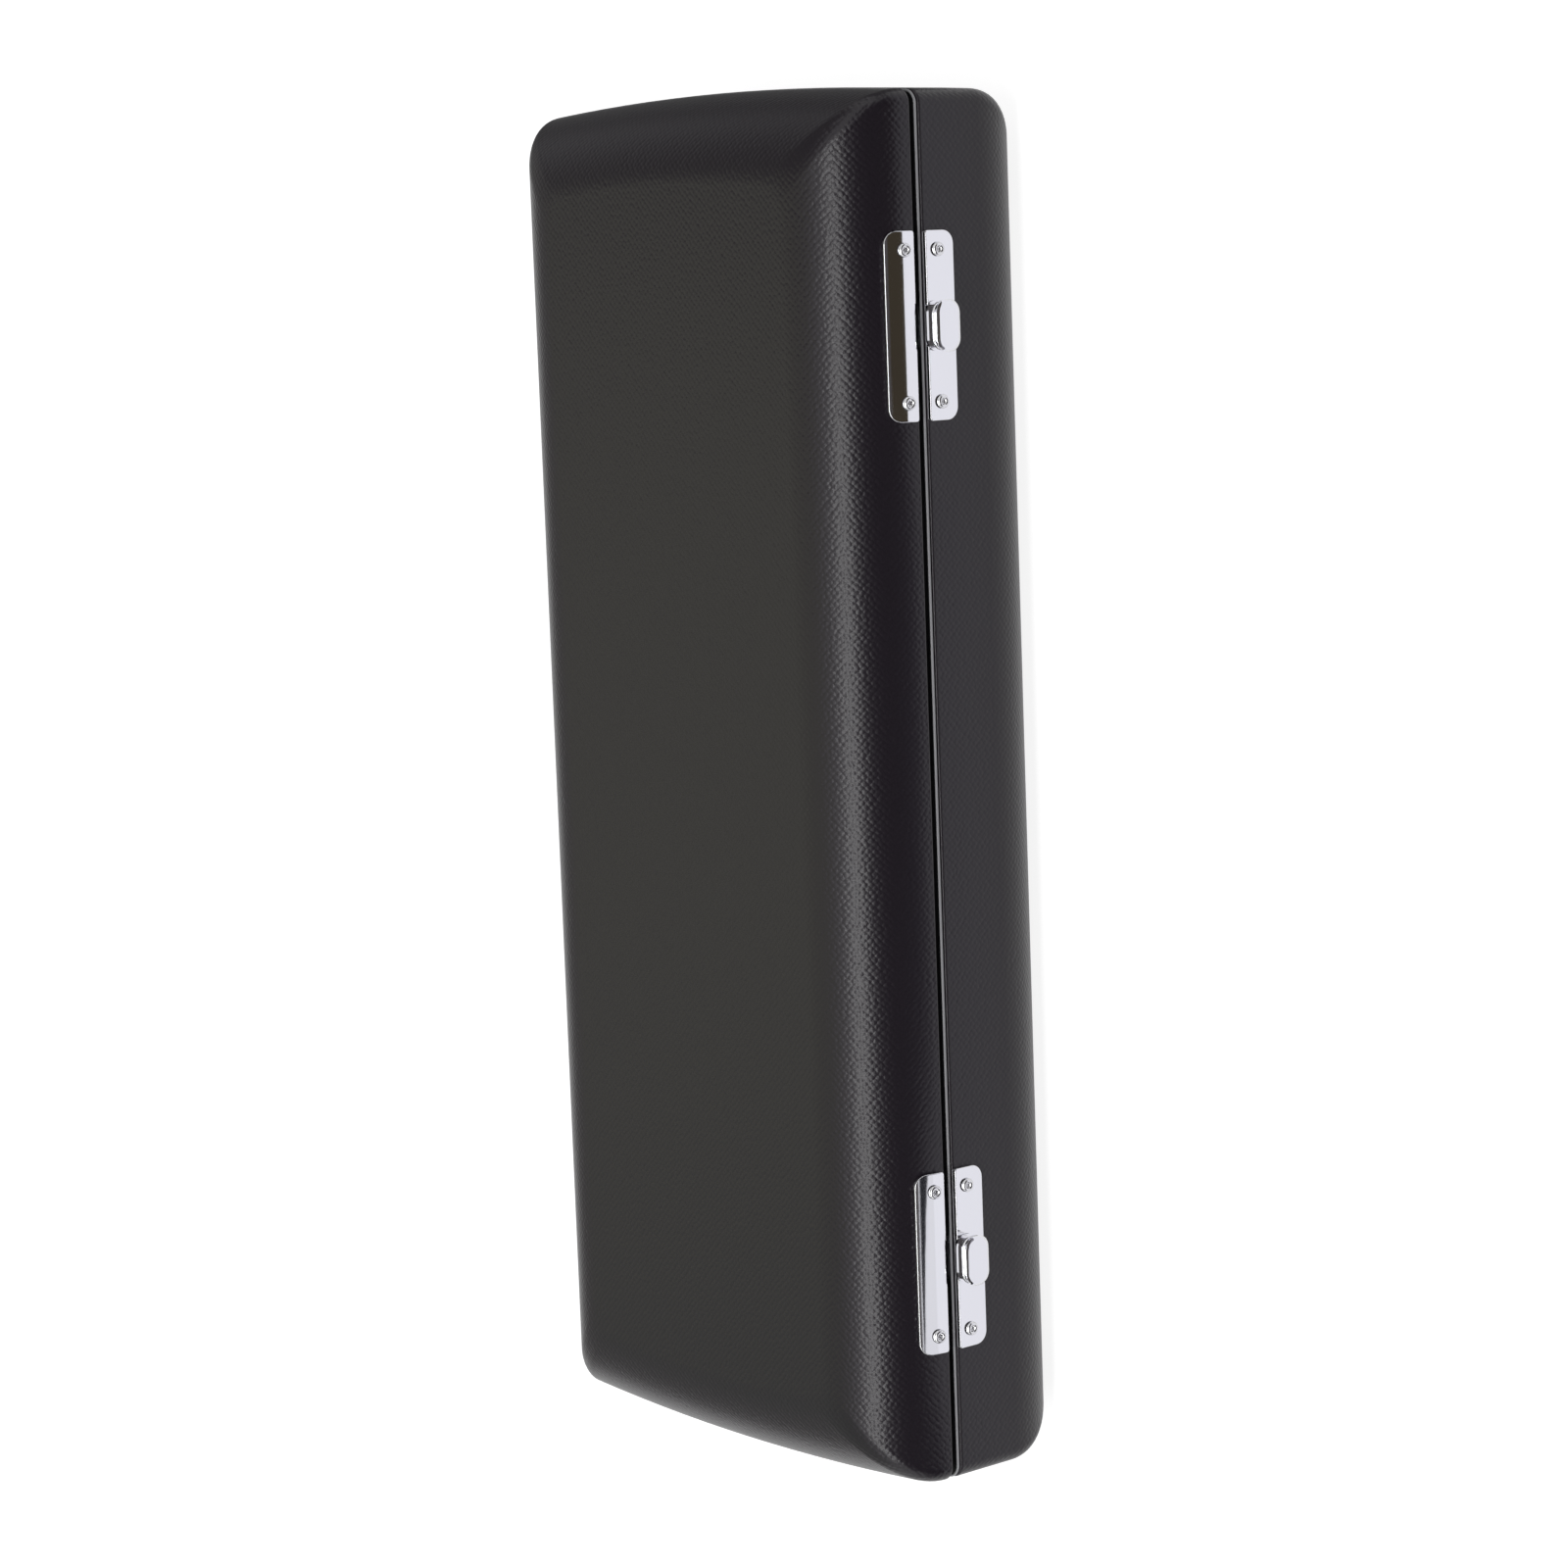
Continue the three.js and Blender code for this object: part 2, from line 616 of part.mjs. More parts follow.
function latchBolt(outward) {
  const neckHalf = NECK_LENGTH / 2 + NECK_GAP;
  const plate = latchBlock(
    outward,
    [-boltHalf, boltHalf],
    [boltFront, boltBack],
    aroundSlide(BOLT_WIDTH / 2),
  );
  const nose = latchBlock(
    outward,
    [noseInnerEnd, noseOuterEnd],
    [boltFront, haspBack + NOSE_REACH],
    [noseMiddle - NOSE_WIDTH / 2, noseMiddle + NOSE_WIDTH / 2],
  );
  const neckHole = latchBlock(
    outward,
    [-neckHalf, neckHalf],
    [boltFront - CUT_OVERRUN, boltBack + CUT_OVERRUN],
    aroundSlide(NECK_WIDTH / 2 + NECK_GAP),
  );
  return cutAway(joinAll([plate, nose]), [neckHole]);
}

// A level of the button: a rounded rectangle in X and Z, its middle at a height, at a depth that is
// negative in front of the case
function buttonRing(halfLength, halfWidth, corner, depth, height) {
  const ring = [];
  for (let quarter = 0; quarter < 4; quarter += 1) {
    const xSide = quarter === 0 || quarter === 3 ? 1 : -1;
    const zSide = quarter < 2 ? 1 : -1;
    for (let step = 0; step <= BUTTON_CORNER_STEPS; step += 1) {
      const angle = (quarter + step / BUTTON_CORNER_STEPS) * RIGHT_ANGLE;
      const x = xSide * (halfLength - corner) + corner * Math.cos(angle);
      const z = zSide * (halfWidth - corner) + corner * Math.sin(angle);
      ring.push(new THREE.Vector3(x, frontY(depth), height + z));
    }
  }
  return ring;
}

// The button's steps from the plate outwards: shares of its height, and of its lip drawn in
const buttonStepShares = [
  [0, 0.3], [0.2, 0.3], [0.2, 0.75], [0.45, 0.75], [0.45, 0.35],
  [0.62, 0.35], [0.62, 1], [0.72, 1], [0.72, 0.3], [0.77, 0], [0.92, 0], [1, 0.4],
];

// The button's head stands higher than its neck, and its upper edge comes near the bead
function latchButton() {
  const foot = plateFace - SEAT_GAP;
  const headHeight = slideHeight + BUTTON_RISE;
  const rings = [
    buttonRing(NECK_LENGTH / 2, NECK_WIDTH / 2, NECK_CORNER, boltBack - SEAT_GAP, slideHeight),
    buttonRing(NECK_LENGTH / 2, NECK_WIDTH / 2, NECK_CORNER, foot, slideHeight),
  ];
  for (const [heightShare, lipShare] of buttonStepShares) {
    const drawn = BUTTON_LIP * lipShare;
    const depth = foot - BUTTON_HEIGHT * heightShare;
    const halfLength = BUTTON_LENGTH / 2 - drawn;
    const halfWidth = BUTTON_WIDTH / 2 - drawn;
    rings.push(buttonRing(halfLength, halfWidth, BUTTON_CORNER - drawn, depth, headHeight));
  }
  return skin(rings);
}

// The lid plate lies round the lid's front fillet. Its hasp bends in under the lid's edge and hangs
// down behind the base plate, cut away on the outer side for the bolt's nose.
function latchLidPlate(outward) {
  const half = LATCH_LENGTH / 2;
  const farArc = LID_PLATE_RISE + LID_PLATE_WIDTH;
  const strip = lidStrip(FRONT, LID_PLATE_RISE, farArc, PLATE_THICKNESS, -half, half);
  const plate = roundedStrip(strip, half, LID_PLATE_RISE, farArc, PLATE_THICKNESS, PLATE_CORNER);
  const hookCut = latchBlock(
    outward,
    [noseInnerEnd - RUNNING_GAP, HASP_LENGTH],
    [haspFront - CUT_OVERRUN, haspBack + CUT_OVERRUN],
    [haspEnd - CUT_OVERRUN, noseMiddle + NOSE_WIDTH / 2 + RUNNING_GAP],
  );
  const outline = [
    [plateFace, plateLow + PLATE_THICKNESS],
    [plateFace, plateLow],
    [plateFace + HASP_DIP, haspWebLow],
    [haspFront, haspWebLow],
    [haspFront, haspEnd],
    [haspBack, haspEnd],
    [haspBack, haspWebHigh],
    [-SEAT_GAP, haspWebHigh],
    [-SEAT_GAP, plateLow + PLATE_THICKNESS],
  ].map(([depth, height]) => new THREE.Vector2(frontY(depth), height));
  const hasp = alongX(new THREE.Shape(outline), -HASP_LENGTH / 2, HASP_LENGTH / 2);
  return cutAway(joinAll([plate, cutAway(hasp, [hookCut])]), latchHoles(lidRivetPlace));
}

function ringPoints(radius, sides, middleX, middleY) {
  const points = [];
  for (let side = 0; side < sides; side += 1) {
    const angle = (side / sides) * 4 * RIGHT_ANGLE;
    points.push(new THREE.Vector2(middleX + radius * Math.cos(angle), middleY + radius * Math.sin(angle)));
  }
  return points;
}

// The return spring's wire, wound along the case between the bolt's end and the housing's end
class SpringCurve extends THREE.Curve {
  constructor(from, to) {
    super();
    this.from = from;
    this.to = to;
  }

  getPoint(share) {
    const angle = share * SPRING_TURNS * 4 * RIGHT_ANGLE;
    const depth = boltFront + SPRING_WIRE_RADIUS + SPRING_COIL_RADIUS * (1 + Math.cos(angle));
    return new THREE.Vector3(
      this.from + share * (this.to - this.from),
      frontY(depth),
      slideHeight + SPRING_COIL_RADIUS * Math.sin(angle),
    );
  }
}

function latchSpring(outward) {
  const from = outward * (springStart + SPRING_WIRE_RADIUS);
  const to = outward * (springEnd - SPRING_WIRE_RADIUS);
  return new THREE.ExtrudeGeometry(new THREE.Shape(ringPoints(SPRING_WIRE_RADIUS, SPRING_SIDES, 0, 0)), {
    steps: SPRING_TURNS * SPRING_STEPS_PER_TURN,
    extrudePath: new SpringCurve(from, to),
  });
}

function knuckle(from, to) {
  const shape = new THREE.Shape(ringPoints(BARREL_RADIUS, BARREL_SIDES, hingeOut, PARTING_HEIGHT));
  const bore = ringPoints(PIN_RADIUS + PIN_CLEARANCE, BARREL_SIDES, hingeOut, PARTING_HEIGHT);
  shape.holes.push(new THREE.Path(bore));
  return alongX(shape, from, to);
}

function hingeHoles(place) {
  return rivetEnds.map((end) => rivetHole(BACK, end * hingeRivetX, place, HINGE_LEAF_THICKNESS));
}

function hingeBaseLeaf() {
  const half = HINGE_LENGTH / 2;
  const seat = CASE_WIDTH / 2 + SEAT_GAP;
  const face = seat + HINGE_LEAF_THICKNESS;
  const low = PARTING_HEIGHT - HINGE_LEAF_WIDTH;
  const high = PARTING_HEIGHT - knuckleReach;
  const outline = roundedPlate(half, low, high, HINGE_LEAF_CORNER, PLATE_SMALL_CORNER);
  const pieces = [alongY(outline, seat, face)];
  const start = HINGE_KNUCKLE / 2 + SEAT_GAP;
  for (const [from, to] of [[-half, -start], [start, half]]) {
    pieces.push(block([from, to], [seat, face], [high - PLATE_SMALL_CORNER, PARTING_HEIGHT]));
    pieces.push(knuckle(from, to));
  }
  return cutAway(joinAll(pieces), hingeHoles(hingeBasePlace));
}

function hingeLidLeaf() {
  const half = HINGE_LENGTH / 2;
  const knuckleHalf = HINGE_KNUCKLE / 2;
  const thickness = HINGE_LEAF_THICKNESS;
  const strip = lidStrip(BACK, knuckleReach, HINGE_LEAF_WIDTH, thickness, -half, half);
  const joined = joinAll([
    roundedStrip(strip, half, knuckleReach, HINGE_LEAF_WIDTH, thickness, HINGE_LEAF_CORNER),
    lidStrip(BACK, 0, knuckleReach + CUT_OVERRUN, thickness, -knuckleHalf, knuckleHalf),
    knuckle(-knuckleHalf, knuckleHalf),
  ]);
  return cutAway(joined, hingeHoles(hingeLidPlace));
}

function hingePin() {
  const shoulder = HINGE_LENGTH / 2 + SEAT_GAP;
  const end = shoulder + PIN_HEAD_THICKNESS;
  const profile = [
    [0, -end],
    [PIN_HEAD_RADIUS, -end],
    [PIN_HEAD_RADIUS, -shoulder],
    [PIN_RADIUS, -shoulder],
    [PIN_RADIUS, shoulder],
    [PIN_HEAD_RADIUS, shoulder],
    [PIN_HEAD_RADIUS, end],
    [0, end],
  ];
  const points = profile.map(([radius, place]) => new THREE.Vector2(radius, place));
  return new THREE.LatheGeometry(points, HOLE_SIDES).rotateZ(-RIGHT_ANGLE);
}

const latchSides = [1, -1];
const rivetEnds = [1, -1];
const sideName = (outward) => (outward > 0 ? 'right' : 'left');
const latchRivetX = LATCH_RIVET_SPACING / 2;
const hingeRivetX = HINGE_RIVET_SPACING / 2;
const hingeRivetArc = (knuckleReach + HINGE_LEAF_WIDTH) / 2;
const baseRivetPlace = baseWall(BASE_RIVET_DROP, SEAT_GAP + PLATE_THICKNESS);
const lidRivetPlace = lidWall(LID_RIVET_RISE, SEAT_GAP + PLATE_THICKNESS);
const hingeBasePlace = baseWall(hingeRivetArc, SEAT_GAP + HINGE_LEAF_THICKNESS);
const hingeLidPlace = lidWall(hingeRivetArc, SEAT_GAP + HINGE_LEAF_THICKNESS);

// Hasp of the lid plate: the web that bends in under the lid's edge, and the hanging end
const plateLow = lidWall(LID_PLATE_RISE, 0).up;
const haspWebLow = plateLow - HASP_DIP;
const haspWebHigh = haspWebLow + HASP_THICKNESS;
const haspEnd = slideHeight - HASP_REACH;

// Holes for the rivets of both latches and both hinges in one half of the case
function rivetHoles(latchPlace, hingePlace) {
  return latchSides.flatMap((side) => rivetEnds.flatMap((end) => [
    rivetHole(FRONT, side * latchX + end * latchRivetX, latchPlace, PLATE_THICKNESS),
    rivetHole(BACK, side * hingeX + end * hingeRivetX, hingePlace, HINGE_LEAF_THICKNESS),
  ]));
}

function inLatch(outward, geometry) {
  return geometry.translate(outward * latchX, 0, 0);
}

// The notch in the lid's edge over which a hasp bends in
function haspNotch(outward, high) {
  const half = HASP_LENGTH / 2 + RUNNING_GAP;
  const depths = [-CUT_OVERRUN, haspBack + HASP_SLOT_GAP];
  return inLatch(outward, latchBlock(outward, [-half, half], depths, [lidEdge - CUT_OVERRUN, high]));
}

const leatherette = material(0x343434, 0.55, 0);
const shellPlastic = material(0x1b1b1d, 0.6, 0);
const rimPlastic = material(0x4a4a4d, 0.35, 0);
const plush = material(0x1c2742, 0.95, 0);
const chrome = material(0xdfe0e4, 0.08, 1);
const rivetMetal = material(0xd2d3d6, 0.18, 1);
const springSteel = material(0x9a9da2, 0.35, 1);

const base = new THREE.Group();
const baseHoles = rivetHoles(baseRivetPlace, hingeBasePlace);
const housingRooms = latchSides.map(housingRoom);
const rimSlots = latchSides.map((side) => inLatch(side, haspSlot(side, baseEdge, PARTING_HEIGHT)));
addPiece(base, 'base_cover', cutAway(baseCover(), [...housingRooms, ...baseHoles]), leatherette);
const baseShell = baseDish(shellOuter, shellInner, baseEdge);
addPiece(base, 'base_shell', cutAway(baseShell, [...housingRooms, ...baseHoles]), shellPlastic);
addPiece(base, 'base_rim', cutAway(baseRim(), rimSlots), rimPlastic);
addPiece(base, 'base_insert', baseInsert(), plush);

const lid = new THREE.Group();
const lidHoles = rivetHoles(lidRivetPlace, hingeLidPlace);
const coverNotches = latchSides.map((side) => haspNotch(side, haspWebHigh + RUNNING_GAP));
const rimNotches = latchSides.map((side) => haspNotch(side, lidShellEdge));
addPiece(lid, 'lid_cover', cutAway(lidCover(), [...coverNotches, ...lidHoles]), leatherette);
const lidShell = lidDish(shellOuter, shellInner, lidShellEdge);
addPiece(lid, 'lid_shell', cutAway(lidShell, lidHoles), shellPlastic);
addPiece(lid, 'lid_rim', cutAway(lidRim(), rimNotches), rimPlastic);
addPiece(lid, 'lid_lining', lidDish(liningOuter, liningInner, liningEdge), plush);

function addLatch(parent, outward) {
  const latch = new THREE.Group();
  const name = `latch_${sideName(outward)}`;
  latch.position.x = outward * latchX;
  parent.add(latch);
  addPiece(latch, `${name}_base_plate`, latchBasePlate(outward), chrome);
  addPiece(latch, `${name}_housing`, latchHousing(outward), springSteel);
  addPiece(latch, `${name}_bolt`, latchBolt(outward), springSteel);
  addPiece(latch, `${name}_button`, latchButton(), chrome);
  addPiece(latch, `${name}_spring`, latchSpring(outward), springSteel);
  addPiece(latch, `${name}_lid_plate`, latchLidPlate(outward), chrome);
  for (const end of rivetEnds) {
    const place = end === outward ? 'outer' : 'inner';
    const x = end * latchRivetX;
    addRivet(latch, `${name}_base_rivet_${place}`, FRONT, x, baseRivetPlace, PLATE_THICKNESS);
    addRivet(latch, `${name}_lid_rivet_${place}`, FRONT, x, lidRivetPlace, PLATE_THICKNESS);
  }
}

function addHinge(parent, outward) {
  const hinge = new THREE.Group();
  const name = `hinge_${sideName(outward)}`;
  hinge.position.x = outward * hingeX;
  parent.add(hinge);
  addPiece(hinge, `${name}_base_leaf`, hingeBaseLeaf(), chrome);
  addPiece(hinge, `${name}_lid_leaf`, hingeLidLeaf(), chrome);
  const pin = addPiece(hinge, `${name}_pin`, hingePin(), springSteel);
  pin.position.set(0, hingeOut, PARTING_HEIGHT);
  for (const end of rivetEnds) {
    const place = end === outward ? 'outer' : 'inner';
    const x = end * hingeRivetX;
    addRivet(hinge, `${name}_base_rivet_${place}`, BACK, x, hingeBasePlace, HINGE_LEAF_THICKNESS);
    addRivet(hinge, `${name}_lid_rivet_${place}`, BACK, x, hingeLidPlace, HINGE_LEAF_THICKNESS);
  }
}

const oboeCase = new THREE.Group();
oboeCase.add(base, lid);
for (const outward of latchSides) {
  addLatch(oboeCase, outward);
  addHinge(oboeCase, outward);
}

export default oboeCase;
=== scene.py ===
import math
import bpy
import bmesh
from mathutils import Matrix, Vector


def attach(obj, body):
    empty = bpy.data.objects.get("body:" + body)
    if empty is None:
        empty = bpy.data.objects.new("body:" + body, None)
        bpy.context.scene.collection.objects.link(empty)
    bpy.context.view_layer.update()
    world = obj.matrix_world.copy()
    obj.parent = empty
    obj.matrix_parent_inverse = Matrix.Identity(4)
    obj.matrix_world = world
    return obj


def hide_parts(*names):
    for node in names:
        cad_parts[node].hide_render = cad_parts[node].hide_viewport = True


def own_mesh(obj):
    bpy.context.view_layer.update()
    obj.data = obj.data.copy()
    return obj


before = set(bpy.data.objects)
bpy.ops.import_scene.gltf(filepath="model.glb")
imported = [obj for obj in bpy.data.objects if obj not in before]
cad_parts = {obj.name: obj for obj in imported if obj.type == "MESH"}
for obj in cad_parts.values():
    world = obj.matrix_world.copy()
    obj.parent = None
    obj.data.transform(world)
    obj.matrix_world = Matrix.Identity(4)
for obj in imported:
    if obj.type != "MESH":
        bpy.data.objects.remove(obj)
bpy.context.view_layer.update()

# Lid cover. A skin of black vinyl leatherette, about 1 mm thick with an embossed diagonal grain,
# is drawn over the moulded lid shell, glued down and rolled in at the lid's edge. It is notched
# where the two hasps bend in through that edge.
MM = 0.001
CASE_LENGTH = 296 * MM
CASE_WIDTH = 117 * MM
CASE_HEIGHT = 57 * MM
PARTING_HEIGHT = 37 * MM
END_BOW = 2.3 * MM
CORNER_RADIUS = 3 * MM
LEAST_CORNER = 1 * MM
CORNER_GROWTH = 0.1
LID_FILLET = 19.2 * MM
LID_EDGE_LIFT = 0.2 * MM
COVER_THICKNESS = 1 * MM
COVER_ROLL = 0.55 * MM
ROLL_UNROLLED = 0.6 * LID_FILLET
CORNER_STEPS = 12
END_STEPS = 14
FILLET_STEPS = 24
ROLL_STEPS = 5
LEVEL_FACE = 0.9999

LEATHERETTE_COLOUR = "201a22"
GRAIN_WAVE = 1.1 * MM
GRAIN_DEPTH = 0.06 * MM
GRAIN_WANDER = 5 * MM
GRAIN_SHIFT = 0.9 * GRAIN_WAVE
GRAIN_PORE = 0.9 * MM
DOME_POWER = 2.0
DOME_DROP = -2.0

front = -CASE_WIDTH / 2
lid_edge = PARTING_HEIGHT + LID_EDGE_LIFT
lid_spring_line = CASE_HEIGHT - LID_FILLET


def colour(hex_value):
    """An sRGB hex value as linear light."""
    parts = [int(hex_value[i:i + 2], 16) / 255 for i in (0, 2, 4)]
    return [c / 12.92 if c <= 0.04045 else ((c + 0.055) / 1.055) ** 2.4 for c in parts] + [1]


def add_node(tree, kind, inputs, **settings):
    """Adds a node: its inputs are values or the sockets that feed them."""
    node = tree.nodes.new(kind)
    for name, value in settings.items():
        setattr(node, name, value)
    for name, value in inputs.items():
        if isinstance(value, bpy.types.NodeSocket):
            tree.links.new(value, node.inputs[name])
        else:
            node.inputs[name].default_value = value
    return node


def new_material(name):
    """An empty material and its node tree."""
    finish = bpy.data.materials.new(name)
    finish.use_nodes = True
    finish.node_tree.nodes.clear()
    return finish, finish.node_tree


def close_material(tree, **shader_inputs):
    """Adds the surface shader and the output of a material."""
    inputs = {name.replace("_", " "): value for name, value in shader_inputs.items()}
    shader = add_node(tree, "ShaderNodeBsdfPrincipled", inputs)
    add_node(tree, "ShaderNodeOutputMaterial", {"Surface": shader.outputs["BSDF"]})


def vinyl_leatherette():
    """Calendered vinyl with an embossed lattice of small rounded diamonds: a dull black sheet
    whose tops catch a soft broken highlight."""
    finish, tree = new_material("vinyl leatherette")
    unrolled = add_node(tree, "ShaderNodeUVMap", {}, uv_map="Grain").outputs["UV"]
    wander = add_node(
        tree, "ShaderNodeTexNoise", {"Vector": unrolled, "Scale": 1 / GRAIN_WANDER, "Detail": 3.0},
    )
    shifted = add_node(
        tree, "ShaderNodeVectorMath", {0: wander.outputs["Color"], 1: [GRAIN_SHIFT] * 3, 2: unrolled},
        operation="MULTIPLY_ADD",
    )
    turned = add_node(
        tree, "ShaderNodeVectorRotate", {"Vector": shifted.outputs["Vector"], "Angle": math.pi / 4},
        rotation_type="Z_AXIS",
    )
    cells = add_node(
        tree, "ShaderNodeTexVoronoi",
        {"Vector": turned.outputs["Vector"], "Scale": 1 / GRAIN_WAVE, "Smoothness": 0.5, "Randomness": 0.33},
        voronoi_dimensions="2D", feature="SMOOTH_F1",
    )
    dome = add_node(
        tree, "ShaderNodeMath", {0: cells.outputs["Distance"], 1: DOME_POWER}, operation="POWER",
    )
    pores = add_node(
        tree, "ShaderNodeTexNoise", {"Vector": unrolled, "Scale": 1 / GRAIN_PORE, "Detail": 2.0},
    )
    height = add_node(
        tree, "ShaderNodeMath", {0: dome.outputs[0], 1: DOME_DROP, 2: pores.outputs["Fac"]},
        operation="MULTIPLY_ADD",
    )
    relief = {"Height": height.outputs[0], "Strength": 1.0, "Distance": GRAIN_DEPTH}
    bump = add_node(tree, "ShaderNodeBump", relief)
    close_material(
        tree, Base_Color=colour(LEATHERETTE_COLOUR), Normal=bump.outputs["Normal"],
        Roughness=0.3, Specular_IOR_Level=0.44,
    )
    return finish


def case_outline(depth, drawn, height):
    """One level of the case: straight long sides, bowed ends, and corners that open as the fillet
    draws the level in."""
    half_width = CASE_WIDTH / 2 - depth - drawn
    half_length = CASE_LENGTH / 2 - END_BOW - depth - drawn
    radius = max(CORNER_RADIUS - depth, LEAST_CORNER) + CORNER_GROWTH * drawn
    corner_x, corner_y = half_length - radius, half_width - radius
    points = []
    for quarter, (side_x, side_y) in enumerate(((1, 1), (-1, 1), (-1, -1), (1, -1))):
        for step in range(CORNER_STEPS + 1):
            angle = (quarter + step / CORNER_STEPS) * math.pi / 2
            x = side_x * corner_x + radius * math.cos(angle)
            y = side_y * corner_y + radius * math.sin(angle)
            points.append((x, y))
        if side_x != side_y:
            for step in range(1, END_STEPS):
                points.append((side_x * half_length, side_y * corner_y * (1 - 2 * step / END_STEPS)))
    bowed = []
    for x, y in points:
        share = max(abs(x) - corner_x, 0) / radius
        bow = END_BOW * share * (1 - (y / half_width) ** 2)
        bowed.append((x + math.copysign(bow, x), y, height))
    return bowed


def lid_levels(depth, edge):
    """Levels of the lid from an edge up to the flat top, each with how much longer the skin is
    than its plan when it is unrolled."""
    radius = LID_FILLET - depth
    levels = [(case_outline(depth, 0, edge), radius * (math.pi / 2 - 1) + lid_spring_line - edge)]
    for step in range(FILLET_STEPS + 1):
        turn = step / FILLET_STEPS * math.pi / 2
        longer = radius * (math.pi / 2 - turn - math.cos(turn))
        height = lid_spring_line + radius * math.sin(turn)
        levels.append((case_outline(depth, radius * (1 - math.cos(turn)), height), longer))
    return levels


def loft(levels, closed=False):
    """Extrudes a ring of edges from level to level. The ends are capped, or the last joins the first.
    Each level is its points and how much longer the skin is there when it is unrolled."""
    bm = bmesh.new()
    longer = bm.verts.layers.float.new("longer")
    ring = [bm.verts.new(point) for point in levels[0][0]]
    for vert in ring:
        vert[longer] = levels[0][1]
    edges = [bm.edges.new((ring[i - 1], ring[i])) for i in range(len(ring))]
    first = edges
    if not closed:
        bmesh.ops.contextual_create(bm, geom=edges)
    for points, extra in levels[1:]:
        place = {vert: i for i, vert in enumerate(ring)}
        made = bmesh.ops.extrude_edge_only(bm, edges=edges)["geom"]
        edges = [part for part in made if isinstance(part, bmesh.types.BMEdge)]
        ring = [None] * len(ring)
        for vert in (part for part in made if isinstance(part, bmesh.types.BMVert)):
            below = next(e.other_vert(vert) for e in vert.link_edges if e.other_vert(vert) in place)
            ring[place[below]] = vert
            vert.co = points[place[below]]
            vert[longer] = extra
    if closed:
        bmesh.ops.bridge_loops(bm, edges=first + edges)
    else:
        bmesh.ops.contextual_create(bm, geom=edges)
    bmesh.ops.recalc_face_normals(bm, faces=bm.faces)
    return bm


def unroll(bm):
    """Lays the skin out flat for its grain: the long sides and the ends fold out from the flat."""
    longer = bm.verts.layers.float["longer"]
    grain = bm.loops.layers.uv.new("Grain")
    for face in bm.faces:
        flat = abs(face.normal.z) > LEVEL_FACE
        to_side = abs(face.normal.y) >= abs(face.normal.x)
        for loop in face.loops:
            x, y, _ = loop.vert.co
            if not flat and to_side:
                y = math.copysign(abs(y) + loop.vert[longer], y)
            elif not flat:
                x = math.copysign(abs(x) + loop.vert[longer], x)
            loop[grain].uv = (x, y)


def make_piece(name, bm, finish, body, nodes, crease=35):
    """Turns a mesh into a piece of the case, in place of CAD nodes, riding on a body."""
    mesh = bpy.data.meshes.new(name)
    bm.to_mesh(mesh)
    bm.free()
    mesh.shade_smooth()
    mesh.set_sharp_from_angle(angle=math.radians(crease))
    mesh.materials.append(finish)
    piece = bpy.data.objects.new(name, mesh)
    bpy.context.scene.collection.objects.link(piece)
    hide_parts(*nodes)
    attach(piece, body)
    return piece


def keep_modified(piece):
    """Makes what the modifiers give the piece's own mesh."""
    evaluated = piece.evaluated_get(bpy.context.evaluated_depsgraph_get())
    mesh = bpy.data.meshes.new_from_object(evaluated)
    piece.modifiers.clear()
    piece.data = mesh


def cut_boxes(piece, boxes):
    """Cuts boxes, given by their lowest and highest corners, out of a piece."""
    bm = bmesh.new()
    for low, high in boxes:
        size = Vector(high) - Vector(low)
        place = Matrix.Translation((Vector(low) + Vector(high)) / 2) @ Matrix.Diagonal((*size, 1))
        bmesh.ops.create_cube(bm, size=1, matrix=place)
    mesh = bpy.data.meshes.new("cutter")
    bm.to_mesh(mesh)
    bm.free()
    cutter = bpy.data.objects.new("cutter", mesh)
    bpy.context.scene.collection.objects.link(cutter)
    cut = piece.modifiers.new("Cut", "BOOLEAN")
    cut.operation = "DIFFERENCE"
    cut.solver = "EXACT"
    cut.object = cutter
    keep_modified(piece)
    bpy.data.objects.remove(cutter)


def weigh_normals(piece):
    """Keeps the flats flat where they run into a fillet."""
    weigh = piece.modifiers.new("Flats", "WEIGHTED_NORMAL")
    weigh.keep_sharp = True
    weigh.weight = 80
    keep_modified(piece)


LATCH_X = 97.75 * MM
HASP_LENGTH = 8.7 * MM
HASP_ROOM = 0.3 * MM
HASP_NOTCH_TOP = 38.7 * MM
HASP_NOTCH_DEPTH = 3.3 * MM


def hasp_boxes(outer, inner, low, high):
    """Boxes cut for both hasps, between two depths behind the front and two heights."""
    half = HASP_LENGTH / 2 + HASP_ROOM
    places = (-LATCH_X, LATCH_X)
    return [((x - half, front + outer, low), (x + half, front + inner, high)) for x in places]


def rolled_edge(edge, into):
    """The levels round the rolled edge of a cover, from its inside to its outside."""
    levels = []
    for step in range(1, ROLL_STEPS + 1):
        turn = step / ROLL_STEPS * math.pi / 2
        height = edge + into * COVER_ROLL * (1 - math.cos(turn))
        levels.append((case_outline(COVER_ROLL * (1 - math.sin(turn)), 0, height), ROLL_UNROLLED))
    return levels


leatherette = vinyl_leatherette()
lid_skin = loft(
    lid_levels(COVER_THICKNESS, lid_edge)[::-1]
    + [(case_outline(COVER_ROLL, 0, lid_edge), ROLL_UNROLLED)]
    + rolled_edge(lid_edge, 1)
    + lid_levels(0, lid_edge + COVER_ROLL)[1:]
)
unroll(lid_skin)
lid_cover = make_piece(
    "lid_cover_leatherette", lid_skin, leatherette, "lid", ["lid_cover"],
)
below_edge = PARTING_HEIGHT - COVER_THICKNESS
cut_boxes(lid_cover, hasp_boxes(-COVER_THICKNESS, HASP_NOTCH_DEPTH, below_edge, HASP_NOTCH_TOP))
weigh_normals(lid_cover)

